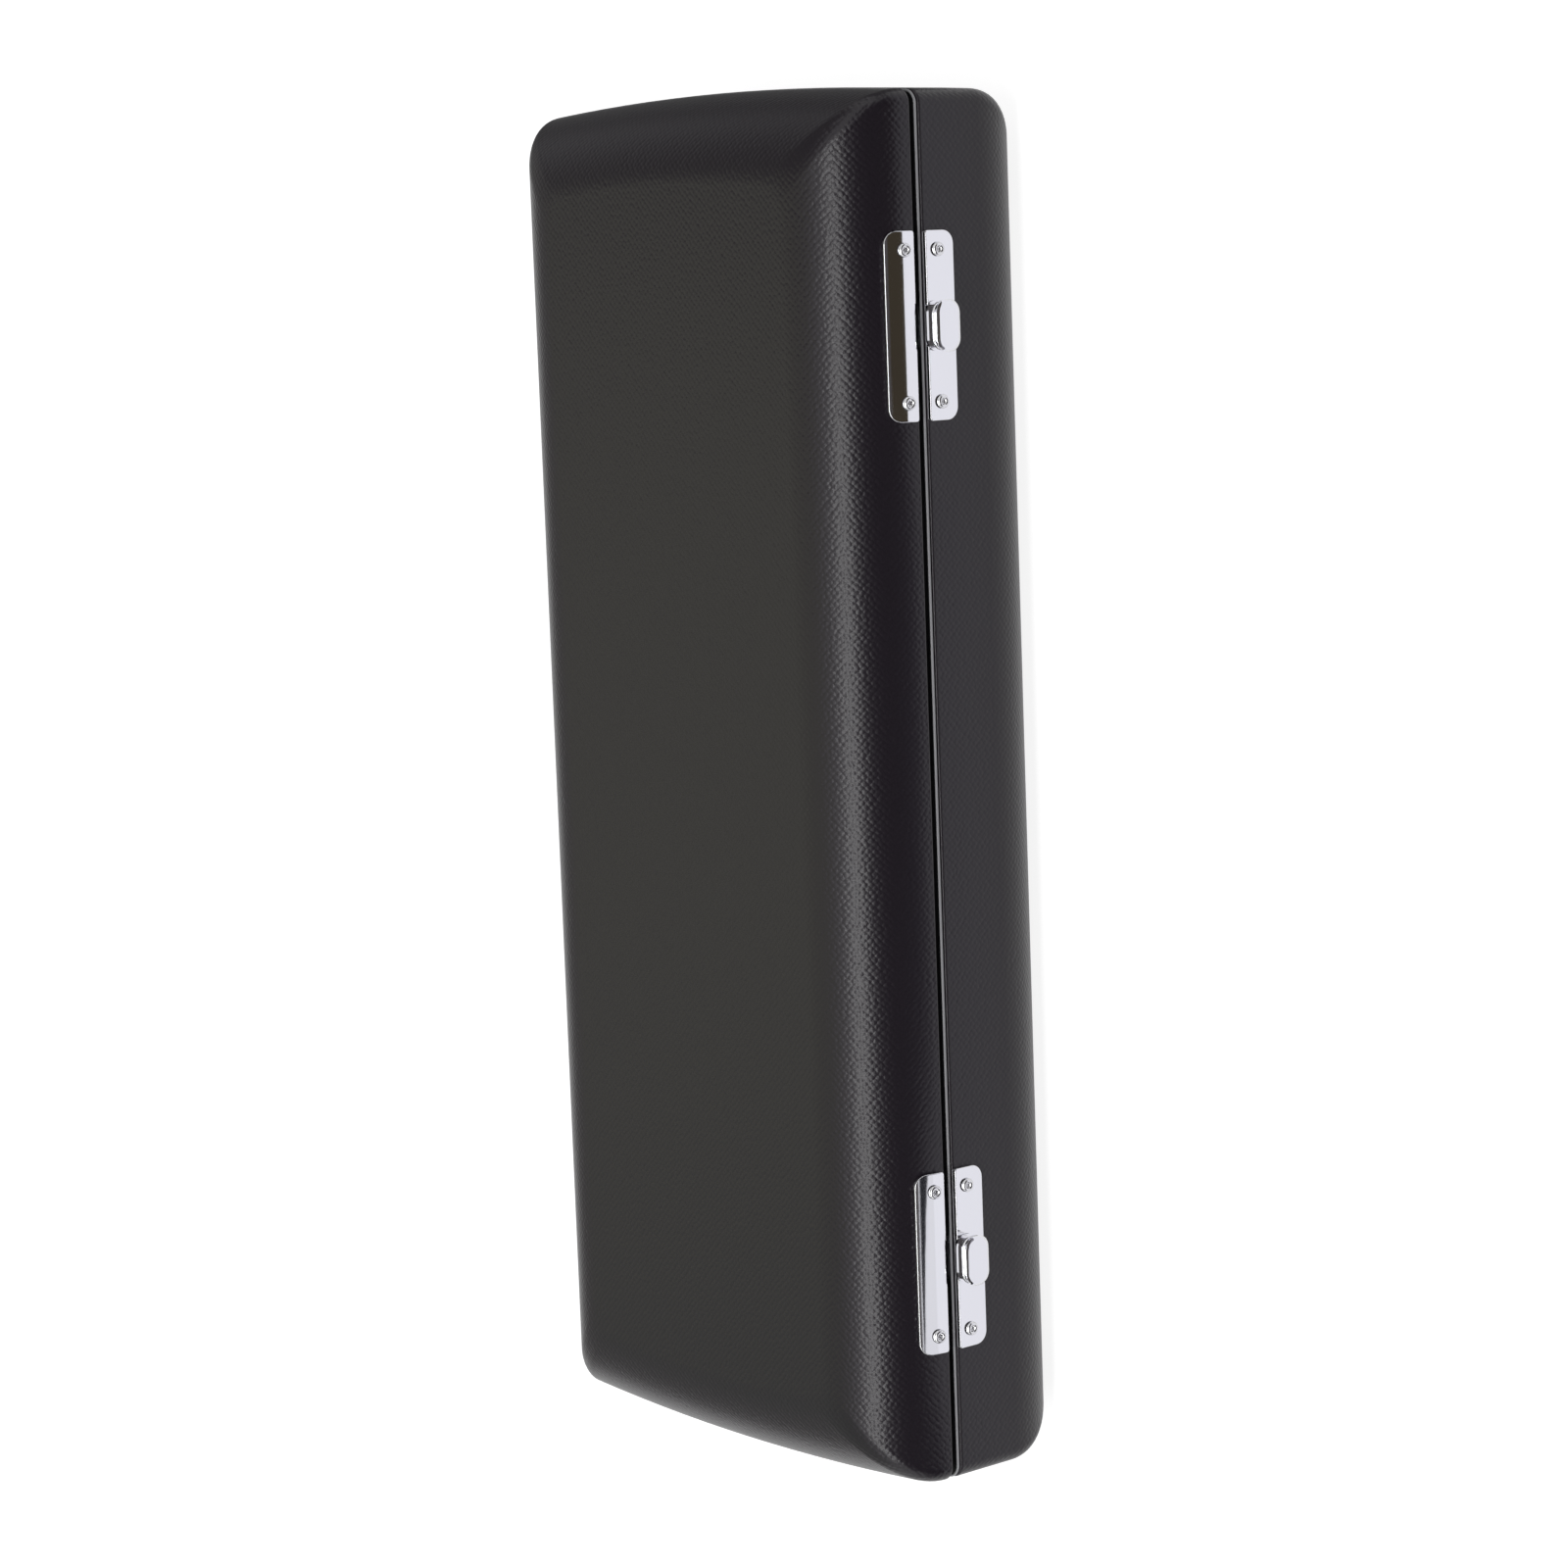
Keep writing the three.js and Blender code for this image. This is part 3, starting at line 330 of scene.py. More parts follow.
# Base cover. The same leatherette, drawn over the moulded base shell, glued down and rolled in
# under the rim's bead. It has a full fillet round the flat underside, much like the lid's.
BASE_FILLET = 18.8 * MM
BASE_EDGE = 35 * MM


def base_levels(depth, edge):
    """Levels of the base from the flat underside up to an edge, with their unrolled lengths."""
    radius = BASE_FILLET - depth
    levels = []
    for step in range(FILLET_STEPS + 1):
        turn = step / FILLET_STEPS * math.pi / 2
        longer = radius * (turn - math.sin(turn))
        height = BASE_FILLET - radius * math.cos(turn)
        levels.append((case_outline(depth, radius * (1 - math.sin(turn)), height), longer))
    levels.append((case_outline(depth, 0, edge), radius * (math.pi / 2 - 1) + edge - BASE_FILLET))
    return levels


base_skin = loft(
    base_levels(0, BASE_EDGE - COVER_ROLL)
    + rolled_edge(BASE_EDGE, -1)[::-1][1:]
    + [(case_outline(COVER_ROLL, 0, BASE_EDGE), ROLL_UNROLLED)]
    + base_levels(COVER_THICKNESS, BASE_EDGE)[::-1]
)
unroll(base_skin)
base_cover = make_piece(
    "base_cover_leatherette", base_skin, leatherette, "base", ["base_cover"],
)
weigh_normals(base_cover)

# Shells. The lid and the base are each moulded in black ABS, 2.5 mm thick, with a faint texture
# from the mould. They stay hidden between the leatherette and the plush.
ABS_COLOUR = "1a1a1c"
ABS_TEXTURE = 0.4 * MM
ABS_TEXTURE_DEPTH = 0.02 * MM


def moulded_abs(name, hex_value, roughness):
    """Injection-moulded ABS with a fine spark-eroded mould texture: even and satin."""
    finish, tree = new_material(name)
    place = add_node(tree, "ShaderNodeTexCoord", {}).outputs["Object"]
    grain = add_node(
        tree, "ShaderNodeTexNoise", {"Vector": place, "Scale": 1 / ABS_TEXTURE, "Detail": 2.0},
    )
    relief = {"Height": grain.outputs["Fac"], "Strength": 0.25, "Distance": ABS_TEXTURE_DEPTH}
    bump = add_node(tree, "ShaderNodeBump", relief)
    close_material(tree, Base_Color=colour(hex_value), Normal=bump.outputs["Normal"], Roughness=roughness)
    return finish


def repaint(node, finish):
    """Gives a CAD node that stays as it is a better material."""
    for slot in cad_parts[node].material_slots:
        slot.material = finish


shell_abs = moulded_abs("moulded black ABS", ABS_COLOUR, 0.55)
repaint("lid_shell", shell_abs)
repaint("base_shell", shell_abs)

# Rims. A grey plastic moulding round the base shows as a thin rounded bead along the parting line,
# and its tongue enters the groove of the black moulding round the lid. Both are glued to the
# shells. The recess floor behind the bead gets the lid moulding's black as painted shade, which makes the
# parting a dark line.
BEAD_TOP = 35.92 * MM
BEAD_BOTTOM = 35.3 * MM
BEAD_SETBACK = 0.15 * MM
BEAD_ROUND = 0.3 * MM
BEAD_RECESS = 0.4 * MM
BEAD_RECESS_END = 2.4 * MM
UPWARD = 0.9
BEAD_COLOUR = "a0a0a3"
RIM_AND_RECESS_SHADE_COLOUR = "242426"
TONGUE_OUTER = 5.65 * MM
TONGUE_INNER = 7.15 * MM
TONGUE_TOP = 39.2 * MM
TONGUE_ROUND = 0.4 * MM
ROUND_STEPS = 4
RIM_LEG_OUTER = 4.7 * MM
RIM_LEG_BOTTOM = 33.3 * MM
LID_RIM_OUTER = 1.3 * MM
LID_RIM_FOOT_TOP = 38.7 * MM
LID_RIM_TOP = 40.6 * MM
GROOVE_WALL_OUTER = 4.36 * MM
GROOVE_WALL_INNER = 5.06 * MM
GROOVE_LIP_OUTER = 7.76 * MM
GROOVE_LIP_INNER = 8.46 * MM
GROOVE_LIP_BOTTOM = 37.8 * MM
GROOVE_ROOF = 39.8 * MM
HASP_SLOT_FRONT = 1.7 * MM
HASP_HEADROOM = 0.2 * MM


def quarter_round(depth, height, radius, start):
    """Points of a quarter round in depth and height, turning clockwise from a start angle."""
    turns = [math.radians(start - 90 * step / ROUND_STEPS) for step in range(ROUND_STEPS + 1)]
    return [(depth + radius * math.cos(turn), height + radius * math.sin(turn)) for turn in turns]


def rim(section):
    """A moulding round the case from its section, given in depth and height."""
    return loft([(case_outline(depth, 0, height), 0) for depth, height in section], closed=True)


bead_grey = moulded_abs("moulded grey ABS", BEAD_COLOUR, 0.3)
rim_black_and_recess_shade = moulded_abs("moulded satin ABS and painted recess shade", RIM_AND_RECESS_SHADE_COLOUR, 0.4)
bead_in = BEAD_SETBACK + BEAD_ROUND
recess_floor = BEAD_TOP - BEAD_RECESS
base_rim = make_piece("base_rim_moulding", rim(
    quarter_round(bead_in, BEAD_BOTTOM + BEAD_ROUND, BEAD_ROUND, 270)
    + quarter_round(bead_in, BEAD_TOP - BEAD_ROUND, BEAD_ROUND, 180)
    + [(bead_in + BEAD_ROUND, recess_floor), (BEAD_RECESS_END, recess_floor)]
    + [(BEAD_RECESS_END, BEAD_TOP), (TONGUE_OUTER, BEAD_TOP)]
    + quarter_round(TONGUE_OUTER + TONGUE_ROUND, TONGUE_TOP - TONGUE_ROUND, TONGUE_ROUND, 180)
    + quarter_round(TONGUE_INNER - TONGUE_ROUND, TONGUE_TOP - TONGUE_ROUND, TONGUE_ROUND, 90)
    + [(TONGUE_INNER, RIM_LEG_BOTTOM), (RIM_LEG_OUTER, RIM_LEG_BOTTOM), (RIM_LEG_OUTER, BEAD_BOTTOM)]
), bead_grey, "base", ["base_rim"])
cut_boxes(base_rim, hasp_boxes(HASP_SLOT_FRONT, HASP_NOTCH_DEPTH, BEAD_BOTTOM - MM, BEAD_TOP + MM))
# Painted shade: the upward faces of the recess floor behind the bead take the black rim finish, to darken
# the parting gap.
base_rim.data.materials.append(rim_black_and_recess_shade)
for face in base_rim.data.polygons:
    if face.normal.z > UPWARD and face.center.z < BEAD_TOP - BEAD_RECESS / 2:
        face.material_index = 1
lid_rim = make_piece("lid_rim_moulding", rim([
    (LID_RIM_OUTER, lid_edge),
    (LID_RIM_OUTER, LID_RIM_FOOT_TOP),
    (GROOVE_WALL_OUTER, LID_RIM_FOOT_TOP),
    (GROOVE_WALL_OUTER, LID_RIM_TOP),
    (GROOVE_LIP_INNER, LID_RIM_TOP),
    (GROOVE_LIP_INNER, GROOVE_LIP_BOTTOM),
    (GROOVE_LIP_OUTER, GROOVE_LIP_BOTTOM),
    (GROOVE_LIP_OUTER, GROOVE_ROOF),
    (GROOVE_WALL_INNER, GROOVE_ROOF),
    (GROOVE_WALL_INNER, lid_edge),
]), rim_black_and_recess_shade, "lid", ["lid_rim"])
notch_top = LID_RIM_FOOT_TOP + HASP_HEADROOM
cut_boxes(lid_rim, hasp_boxes(0, HASP_NOTCH_DEPTH, lid_edge - MM, notch_top))

# Plush inside. The fitted body in the base and the padded lining in the lid are foam and board
# under navy nylon plush, glued in. The edges of the bays are soft, and the pile lies unevenly.
PLUSH_COLOUR = "1b2747"
PLUSH_SHADE = "111a33"
PLUSH_VOXEL = 1.5 * MM
PILE_PATCH = 18 * MM
PILE_TUFT = 0.8 * MM
PILE_DEPTH = 0.3 * MM
PILE_SHEEN = "8fa2d8"
JOIN_DISTANCE = 0.001 * MM


def nylon_plush():
    """Short nylon pile: matt and dark where it is looked into, with a pale sheen at grazing angles
    and patches where the pile leans another way."""
    finish, tree = new_material("nylon plush")
    place = add_node(tree, "ShaderNodeTexCoord", {}).outputs["Object"]
    patches = add_node(
        tree, "ShaderNodeTexNoise", {"Vector": place, "Scale": 1 / PILE_PATCH, "Detail": 3.0},
    )
    tufts = add_node(
        tree, "ShaderNodeTexNoise",
        {"Vector": place, "Scale": 1 / PILE_TUFT, "Detail": 3.0, "Roughness": 0.7},
    )
    tone = add_node(
        tree, "ShaderNodeMix",
        {"Factor": patches.outputs["Fac"], "A": colour(PLUSH_SHADE), "B": colour(PLUSH_COLOUR)},
        data_type="RGBA",
    )
    relief = {"Height": tufts.outputs["Fac"], "Strength": 0.9, "Distance": PILE_DEPTH}
    bump = add_node(tree, "ShaderNodeBump", relief)
    close_material(
        tree, Base_Color=tone.outputs["Result"], Normal=bump.outputs["Normal"], Roughness=0.95,
        Specular_IOR_Level=0.2, Sheen_Weight=0.35, Sheen_Roughness=0.4, Sheen_Tint=colour(PILE_SHEEN),
    )
    return finish


def merged_copy(node):
    """A copy of a CAD node with its loose triangles joined."""
    bm = bmesh.new()
    bm.from_mesh(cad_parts[node].data)
    bmesh.ops.remove_doubles(bm, verts=bm.verts, dist=JOIN_DISTANCE)
    return bm


plush = nylon_plush()


def padded_plush(name, node, body):
    """Softens a CAD solid into foam under plush."""
    piece = make_piece(name, merged_copy(node), plush, body, [node])
    pad = piece.modifiers.new("Foam", "REMESH")
    pad.mode = "VOXEL"
    pad.voxel_size = PLUSH_VOXEL
    pad.use_smooth_shade = True
    soften = piece.modifiers.new("Soft edges", "SMOOTH")
    soften.factor = 0.5
    soften.iterations = 4
    keep_modified(piece)


padded_plush("base_insert_plush", "base_insert", "base")
padded_plush("lid_lining_plush", "lid_lining", "lid")

# Latch plates. Each latch has two plates stamped from steel sheet, their edges eased, polished and
# chromed: a flat one riveted to the base, and one on the lid that is rolled to its fillet and
# carries the hasp, which bends in through the lid's edge and hangs down behind the base plate.
SEAT_GAP = 0.15 * MM
PLATE_LENGTH = 38.8 * MM
PLATE_THICKNESS = 1 * MM
PLATE_CORNER = 2.8 * MM
PLATE_SMALL_CORNER = 0.6 * MM
PLATE_EASED = 0.2 * MM
PLATE_CORNER_STEPS = 10
PLATE_EASED_STEPS = 3
BASE_PLATE_TOP = 35.2 * MM
BASE_PLATE_WIDTH = 7.6 * MM
LID_PLATE_RISE = 1.3 * MM
LID_PLATE_WIDTH = 6.8 * MM
PLATE_BANDS = 16
SLIDE_HEIGHT = 31.6 * MM
NECK_ROOM = 1.8 * MM
NECK_SLOT_HALF = 1.5 * MM
SLIDE_TRAVEL = 3 * MM
HASP_FRONT = 2.1 * MM
HASP_BACK = 2.9 * MM
HASP_WEB_LOW = 38.15 * MM
HASP_WEB_HIGH = 38.9 * MM
PLATE_NOTCH_TOP = 38.65 * MM
HASP_END = 30.2 * MM
HASP_WELD = -0.13 * MM
CHROME_COLOUR = "f0f0f3"
CHROME_WAVE = 6 * MM
CHROME_WAVE_DEPTH = 0.03 * MM


def chrome_plate():
    """Polished steel with bright nickel and chrome: a mirror with slight waves from polishing."""
    finish, tree = new_material("chromed steel")
    place = add_node(tree, "ShaderNodeTexCoord", {}).outputs["Object"]
    waves = add_node(
        tree, "ShaderNodeTexNoise", {"Vector": place, "Scale": 1 / CHROME_WAVE, "Detail": 1.0},
    )
    relief = {"Height": waves.outputs["Fac"], "Strength": 0.3, "Distance": CHROME_WAVE_DEPTH}
    bump = add_node(tree, "ShaderNodeBump", relief)
    close_material(
        tree, Base_Color=colour(CHROME_COLOUR), Normal=bump.outputs["Normal"],
        Metallic=1.0, Roughness=0.07,
    )
    return finish


chrome = chrome_plate()
sides = {"left": -1, "right": 1}
before_plate = front - 2 * PLATE_THICKNESS


def stamped_plate(width):
    """A latch plate in X and Y, its far side rounded more, its top edge eased."""
    half = PLATE_LENGTH / 2
    bm = bmesh.new()
    places = ((-half, 0), (half, 0), (half, width), (-half, width))
    corners = [bm.verts.new((x, y, 0)) for x, y in places]
    bm.faces.new(corners)
    for verts, offset in ((corners[:2], PLATE_SMALL_CORNER), (corners[2:], PLATE_CORNER)):
        bmesh.ops.bevel(
            bm, geom=verts, offset=offset, segments=PLATE_CORNER_STEPS, profile=0.5, affect="VERTICES",
            material=-1,
        )
    made = bmesh.ops.extrude_face_region(bm, geom=list(bm.faces))["geom"]
    moved = [v for v in made if isinstance(v, bmesh.types.BMVert)]
    bmesh.ops.translate(bm, verts=moved, vec=(0, 0, PLATE_THICKNESS))
    rim_edges = [e for e in bm.edges if all(v.co.z > PLATE_THICKNESS / 2 for v in e.verts)]
    bmesh.ops.bevel(
        bm, geom=rim_edges, offset=PLATE_EASED, segments=PLATE_EASED_STEPS, profile=0.5, affect="EDGES",
        material=-1,
    )
    return bm


def lid_wall(arc, lift):
    """How far out and how high a point is that lies up the lid's wall from the parting, and how far
    the wall leans there."""
    straight = lid_spring_line - PARTING_HEIGHT
    tilt = max(arc - straight, 0) / LID_FILLET
    out = CASE_WIDTH / 2 - LID_FILLET + (LID_FILLET + lift) * math.cos(tilt)
    if arc < straight:
        return out, PARTING_HEIGHT + arc, tilt
    return out, lid_spring_line + (LID_FILLET + lift) * math.sin(tilt), tilt


for side, outward in sides.items():
    middle = outward * LATCH_X
    base_plate = stamped_plate(BASE_PLATE_WIDTH)
    for vert in base_plate.verts:
        x, across, lift = vert.co
        vert.co = (middle + x, front - SEAT_GAP - lift, BASE_PLATE_TOP - across)
    bmesh.ops.recalc_face_normals(base_plate, faces=base_plate.faces)
    node = f"latch_{side}_base_plate"
    piece = make_piece(f"{node}_chromed", base_plate, chrome, "base", [node])
    slot_x = sorted((middle - outward * NECK_ROOM, middle + outward * (NECK_ROOM + SLIDE_TRAVEL)))
    slot_low = (slot_x[0], before_plate, SLIDE_HEIGHT - NECK_SLOT_HALF)
    slot_high = (slot_x[1], front, SLIDE_HEIGHT + NECK_SLOT_HALF)
    cut_boxes(piece, [(slot_low, slot_high)])
    weigh_normals(piece)

    lid_plate = stamped_plate(LID_PLATE_WIDTH)
    for band in range(1, PLATE_BANDS):
        across = (0, band / PLATE_BANDS * LID_PLATE_WIDTH, 0)
        parts = lid_plate.verts[:] + lid_plate.edges[:] + lid_plate.faces[:]
        bmesh.ops.bisect_plane(
            lid_plate, geom=parts, dist=JOIN_DISTANCE, plane_co=across, plane_no=(0, 1, 0),
        )
    for vert in lid_plate.verts:
        x, across, lift = vert.co
        out, up, _ = lid_wall(LID_PLATE_RISE + across, SEAT_GAP + lift)
        vert.co = (middle + x, -out, up)
    outline = (
        (HASP_WELD, HASP_WEB_LOW),
        (HASP_FRONT, HASP_WEB_LOW),
        (HASP_FRONT, HASP_END),
        (HASP_BACK, HASP_END),
        (HASP_BACK, HASP_WEB_HIGH),
        (HASP_WELD, HASP_WEB_HIGH),
    )
    hasp_start = middle - HASP_LENGTH / 2
    hasp = [lid_plate.verts.new((hasp_start, front + depth, height)) for depth, height in outline]
    made = bmesh.ops.extrude_face_region(lid_plate, geom=[lid_plate.faces.new(hasp)])["geom"]
    moved = [v for v in made if isinstance(v, bmesh.types.BMVert)]
    bmesh.ops.translate(lid_plate, verts=moved, vec=(HASP_LENGTH, 0, 0))
    bmesh.ops.recalc_face_normals(lid_plate, faces=lid_plate.faces)
    node = f"latch_{side}_lid_plate"
    piece = make_piece(f"{node}_chromed", lid_plate, chrome, "lid", [node])
    notch = HASP_LENGTH / 2 + HASP_ROOM
    notch_low = (middle - notch, before_plate, PARTING_HEIGHT)
    notch_high = (middle + notch, front - SEAT_GAP, PLATE_NOTCH_TOP)
    cut_boxes(piece, [(notch_low, notch_high)])
    weigh_normals(piece)

# Rivets. Small semi-tubular steel rivets, nickel-plated, hold the latch plates and the hinge
# leaves. Each head is a low dome with a dimple from setting it: a bright ring round a dark spot.
RIVET_HEAD_RADIUS = 1.5 * MM
RIVET_HEAD_HEIGHT = 0.7 * MM
RIVET_DIMPLE_RADIUS = 0.62 * MM
RIVET_SHANK_RADIUS = 0.6 * MM
RIVET_SHANK = 4.8 * MM
RIVET_FACETS = 28
# Shares of the head's radius and height, then of the dimple's radius and the head's height.
RIVET_DOME = ((1, 0), (1, 0.2), (0.95, 0.55), (0.84, 0.85), (0.7, 1), (0.57, 0.96))
RIVET_DIMPLE = ((1, 0.7), (0.75, 0.2), (0.5, 0.12), (0.3, 0.2), (0, 0.25))
LATCH_RIVET_X = 15.5 * MM
BASE_RIVET_HEIGHT = 32.1 * MM
LID_RIVET_ARC = 3.8 * MM
HINGE_X = 85 * MM
HINGE_RIVET_X = 10 * MM
HINGE_RIVET_ARC = 6 * MM
HINGE_LEAF_THICKNESS = 0.9 * MM
NICKEL_COLOUR = "e6e6e8"
NICKEL_MARK = 0.5 * MM
NICKEL_MARK_DEPTH = 0.02 * MM


def nickel_plate():
    """Bright nickel on small cold-headed parts: a mirror, a little greyer and softer than chrome."""
    finish, tree = new_material("nickel-plated steel")
    place = add_node(tree, "ShaderNodeTexCoord", {}).outputs["Object"]
    marks = add_node(
        tree, "ShaderNodeTexNoise", {"Vector": place, "Scale": 1 / NICKEL_MARK, "Detail": 1.0},
    )
    relief = {"Height": marks.outputs["Fac"], "Strength": 0.2, "Distance": NICKEL_MARK_DEPTH}
    bump = add_node(tree, "ShaderNodeBump", relief)
    close_material(
        tree, Base_Color=colour(NICKEL_COLOUR), Normal=bump.outputs["Normal"],
        Metallic=1.0, Roughness=0.16,
    )
    return finish


nickel = nickel_plate()


def rivet(name, body, x, out, up, outward_sign, tilt):
    """A rivet whose head sits at a point of the front (-1) or the back (1), square to the wall."""
    profile = [(0, -RIVET_SHANK), (RIVET_SHANK_RADIUS, -RIVET_SHANK), (RIVET_SHANK_RADIUS, 0)]
    for radius, shares in ((RIVET_HEAD_RADIUS, RIVET_DOME), (RIVET_DIMPLE_RADIUS, RIVET_DIMPLE)):
        profile += [(across * radius, level * RIVET_HEAD_HEIGHT) for across, level in shares]
    bm = bmesh.new()
    points = [bm.verts.new((radius, 0, level + SEAT_GAP)) for radius, level in profile]
    edges = [bm.edges.new(pair) for pair in zip(points, points[1:])]
    bmesh.ops.spin(
        bm, geom=points + edges, cent=(0, 0, 0), axis=(0, 0, 1), angle=2 * math.pi, steps=RIVET_FACETS,
        use_merge=True,
    )
    bmesh.ops.remove_doubles(bm, verts=bm.verts, dist=JOIN_DISTANCE)
    bmesh.ops.recalc_face_normals(bm, faces=bm.faces)
    lean = math.pi / 2 - tilt
    turn = Matrix.Rotation(-outward_sign * lean, 4, "X")
    seat = Matrix.Translation((x, outward_sign * out, up))
    bmesh.ops.transform(bm, matrix=seat @ turn, verts=bm.verts)
    make_piece(name + "_nickel", bm, nickel, body, [name])


on_plate = SEAT_GAP + PLATE_THICKNESS
on_leaf = SEAT_GAP + HINGE_LEAF_THICKNESS
base_leaf_height = PARTING_HEIGHT - HINGE_RIVET_ARC
for side, outward in sides.items():
    for place, end in (("outer", outward), ("inner", -outward)):
        x = outward * LATCH_X + end * LATCH_RIVET_X
        out, up, tilt = lid_wall(LID_RIVET_ARC, on_plate)
        rivet(f"latch_{side}_lid_rivet_{place}", "lid", x, out, up, -1, tilt)
        out = CASE_WIDTH / 2 + on_plate
        rivet(f"latch_{side}_base_rivet_{place}", "base", x, out, BASE_RIVET_HEIGHT, -1, 0)
        x = outward * HINGE_X + end * HINGE_RIVET_X
        out, up, tilt = lid_wall(HINGE_RIVET_ARC, on_leaf)
        rivet(f"hinge_{side}_lid_rivet_{place}", "lid", x, out, up, 1, tilt)
        out = CASE_WIDTH / 2 + on_leaf
        rivet(f"hinge_{side}_base_rivet_{place}", "base", x, out, base_leaf_height, 1, 0)

# Slides. Each latch's button is a stepped block of chromed zinc: a foot, a flange, a groove and a
# cap with full corners. Its neck goes through a slot in the base plate to the bolt in the housing
# behind, both zinc-plated pressings. A wound steel spring pushes them back.
BUTTON_LENGTH = 10.6 * MM
BUTTON_WIDTH = 6.5 * MM
BUTTON_HEIGHT = 3.9 * MM
BUTTON_CORNER = 2.8 * MM
BUTTON_LIP = 0.75 * MM
BUTTON_FOOT = 1.3 * MM
BUTTON_RISE = 1.4 * MM
NECK_HALF_LENGTH = 1.6 * MM
NECK_HALF_WIDTH = 1.3 * MM
NECK_CORNER = 0.3 * MM
NECK_END = 1.5 * MM
# Shares of the button's height, each with how much of the lip its outline is drawn in there.
BUTTON_STEPS = (
    (0, 0.25), (0.1, 0.25), (0.12, 0.9), (0.45, 0.5), (0.46, 0.4), (0.5, 0.25), (0.56, 0.2), (0.62, 0.25),
    (0.66, 0.4), (0.67, 1), (0.85, 1), (0.86, 0.25), (0.88, 0.05), (0.91, 0), (0.93, 0.08), (0.96, 0.35),
    (0.985, 0.65), (1, 1.05),
)
ZINC_DARK = "8f9296"
ZINC_LIGHT = "b5b7ba"
ZINC_SPANGLE = 0.6 * MM


def rounded_level(half_x, half_z, corner, depth, middle, height):
    """A level of a loft: a rounded rectangle at a depth behind the front, less than 0 before it."""
    points = []
    for quarter, (side_x, side_z) in enumerate(((1, 1), (-1, 1), (-1, -1), (1, -1))):
        for step in range(CORNER_STEPS + 1):
            angle = (quarter + step / CORNER_STEPS) * math.pi / 2
            x = side_x * (half_x - corner) + corner * math.cos(angle)
            z = side_z * (half_z - corner) + corner * math.sin(angle)
            points.append((middle + x, front + depth, height + z))
    return points, 0


def zinc_plate():
    """Zinc-plated spring steel and pressings: grey and satin."""
    finish, tree = new_material("zinc-plated steel")
    place = add_node(tree, "ShaderNodeTexCoord", {}).outputs["Object"]
    grain = add_node(
        tree, "ShaderNodeTexNoise", {"Vector": place, "Scale": 1 / ZINC_SPANGLE, "Detail": 2.0},
    )
    tone = add_node(
        tree, "ShaderNodeMix",
        {"Factor": grain.outputs["Fac"], "A": colour(ZINC_DARK), "B": colour(ZINC_LIGHT)},
        data_type="RGBA",
    )
    close_material(tree, Base_Color=tone.outputs["Result"], Metallic=1.0, Roughness=0.35)
    return finish


zinc = zinc_plate()
for side, outward in sides.items():
    middle = outward * LATCH_X
    slide = f"latch_{side}_slide"
    neck = (NECK_HALF_LENGTH, NECK_HALF_WIDTH, NECK_CORNER)
    levels = [rounded_level(*neck, depth, middle, SLIDE_HEIGHT) for depth in (NECK_END, -BUTTON_FOOT)]
    for height, lip in BUTTON_STEPS:
        drawn = BUTTON_LIP * lip
        depth = -BUTTON_FOOT - BUTTON_HEIGHT * height
        head = (BUTTON_LENGTH / 2 - drawn, BUTTON_WIDTH / 2 - drawn, BUTTON_CORNER - drawn)
        levels.append(rounded_level(*head, depth, middle, SLIDE_HEIGHT + BUTTON_RISE))
    node = f"latch_{side}_button"
    make_piece(f"{node}_chromed", loft(levels), chrome, slide, [node])
    repaint(f"latch_{side}_housing", zinc)
    repaint(f"latch_{side}_bolt", zinc)
    spring = f"latch_{side}_spring"
    wire = merged_copy(spring)
    piece = make_piece(f"{spring}_wound", wire, zinc, "base", [spring], crease=80)
    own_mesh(piece)

# Hinges. Two short butt hinges of chromed steel on the back: each leaf is stamped with its knuckles
# rolled round a steel pin, which is headed at both ends, and riveted through the cover.
HINGE_EASED = 0.18 * MM
FLAT_ANGLE = 0.5
EASED_ANGLE = 50


def eased_leaf(node, body):
    """A CAD hinge leaf with smooth curves and its stamped edges eased."""
    bm = merged_copy(node)
    bmesh.ops.dissolve_limit(bm, angle_limit=math.radians(FLAT_ANGLE), verts=bm.verts, edges=bm.edges)
    piece = make_piece(f"{node}_chromed", bm, chrome, body, [node], crease=30)
    ease = piece.modifiers.new("Eased edges", "BEVEL")
    ease.width = HINGE_EASED
    ease.segments = 2
    ease.limit_method = "ANGLE"
    ease.angle_limit = math.radians(EASED_ANGLE)
    ease.harden_normals = True


for side in sides:
    eased_leaf(f"hinge_{side}_base_leaf", "base")
    eased_leaf(f"hinge_{side}_lid_leaf", "lid")
    repaint(f"hinge_{side}_pin", zinc)

# Studio. A white table in a white surround, as for a plain product picture, and one long strip
# softbox above the front, for the highlight along the lid's front fillet. Boards that only
# reflections see set the tone of each side of the leatherette and the bands in the chrome.
STUDIO_HALF = 4.0
TABLE_COLOUR = "bcbcbc"
TABLE_GLOW = 0.55
TABLE_SEEN_GLOW = 0.85
WORLD_LEVEL = 0.4


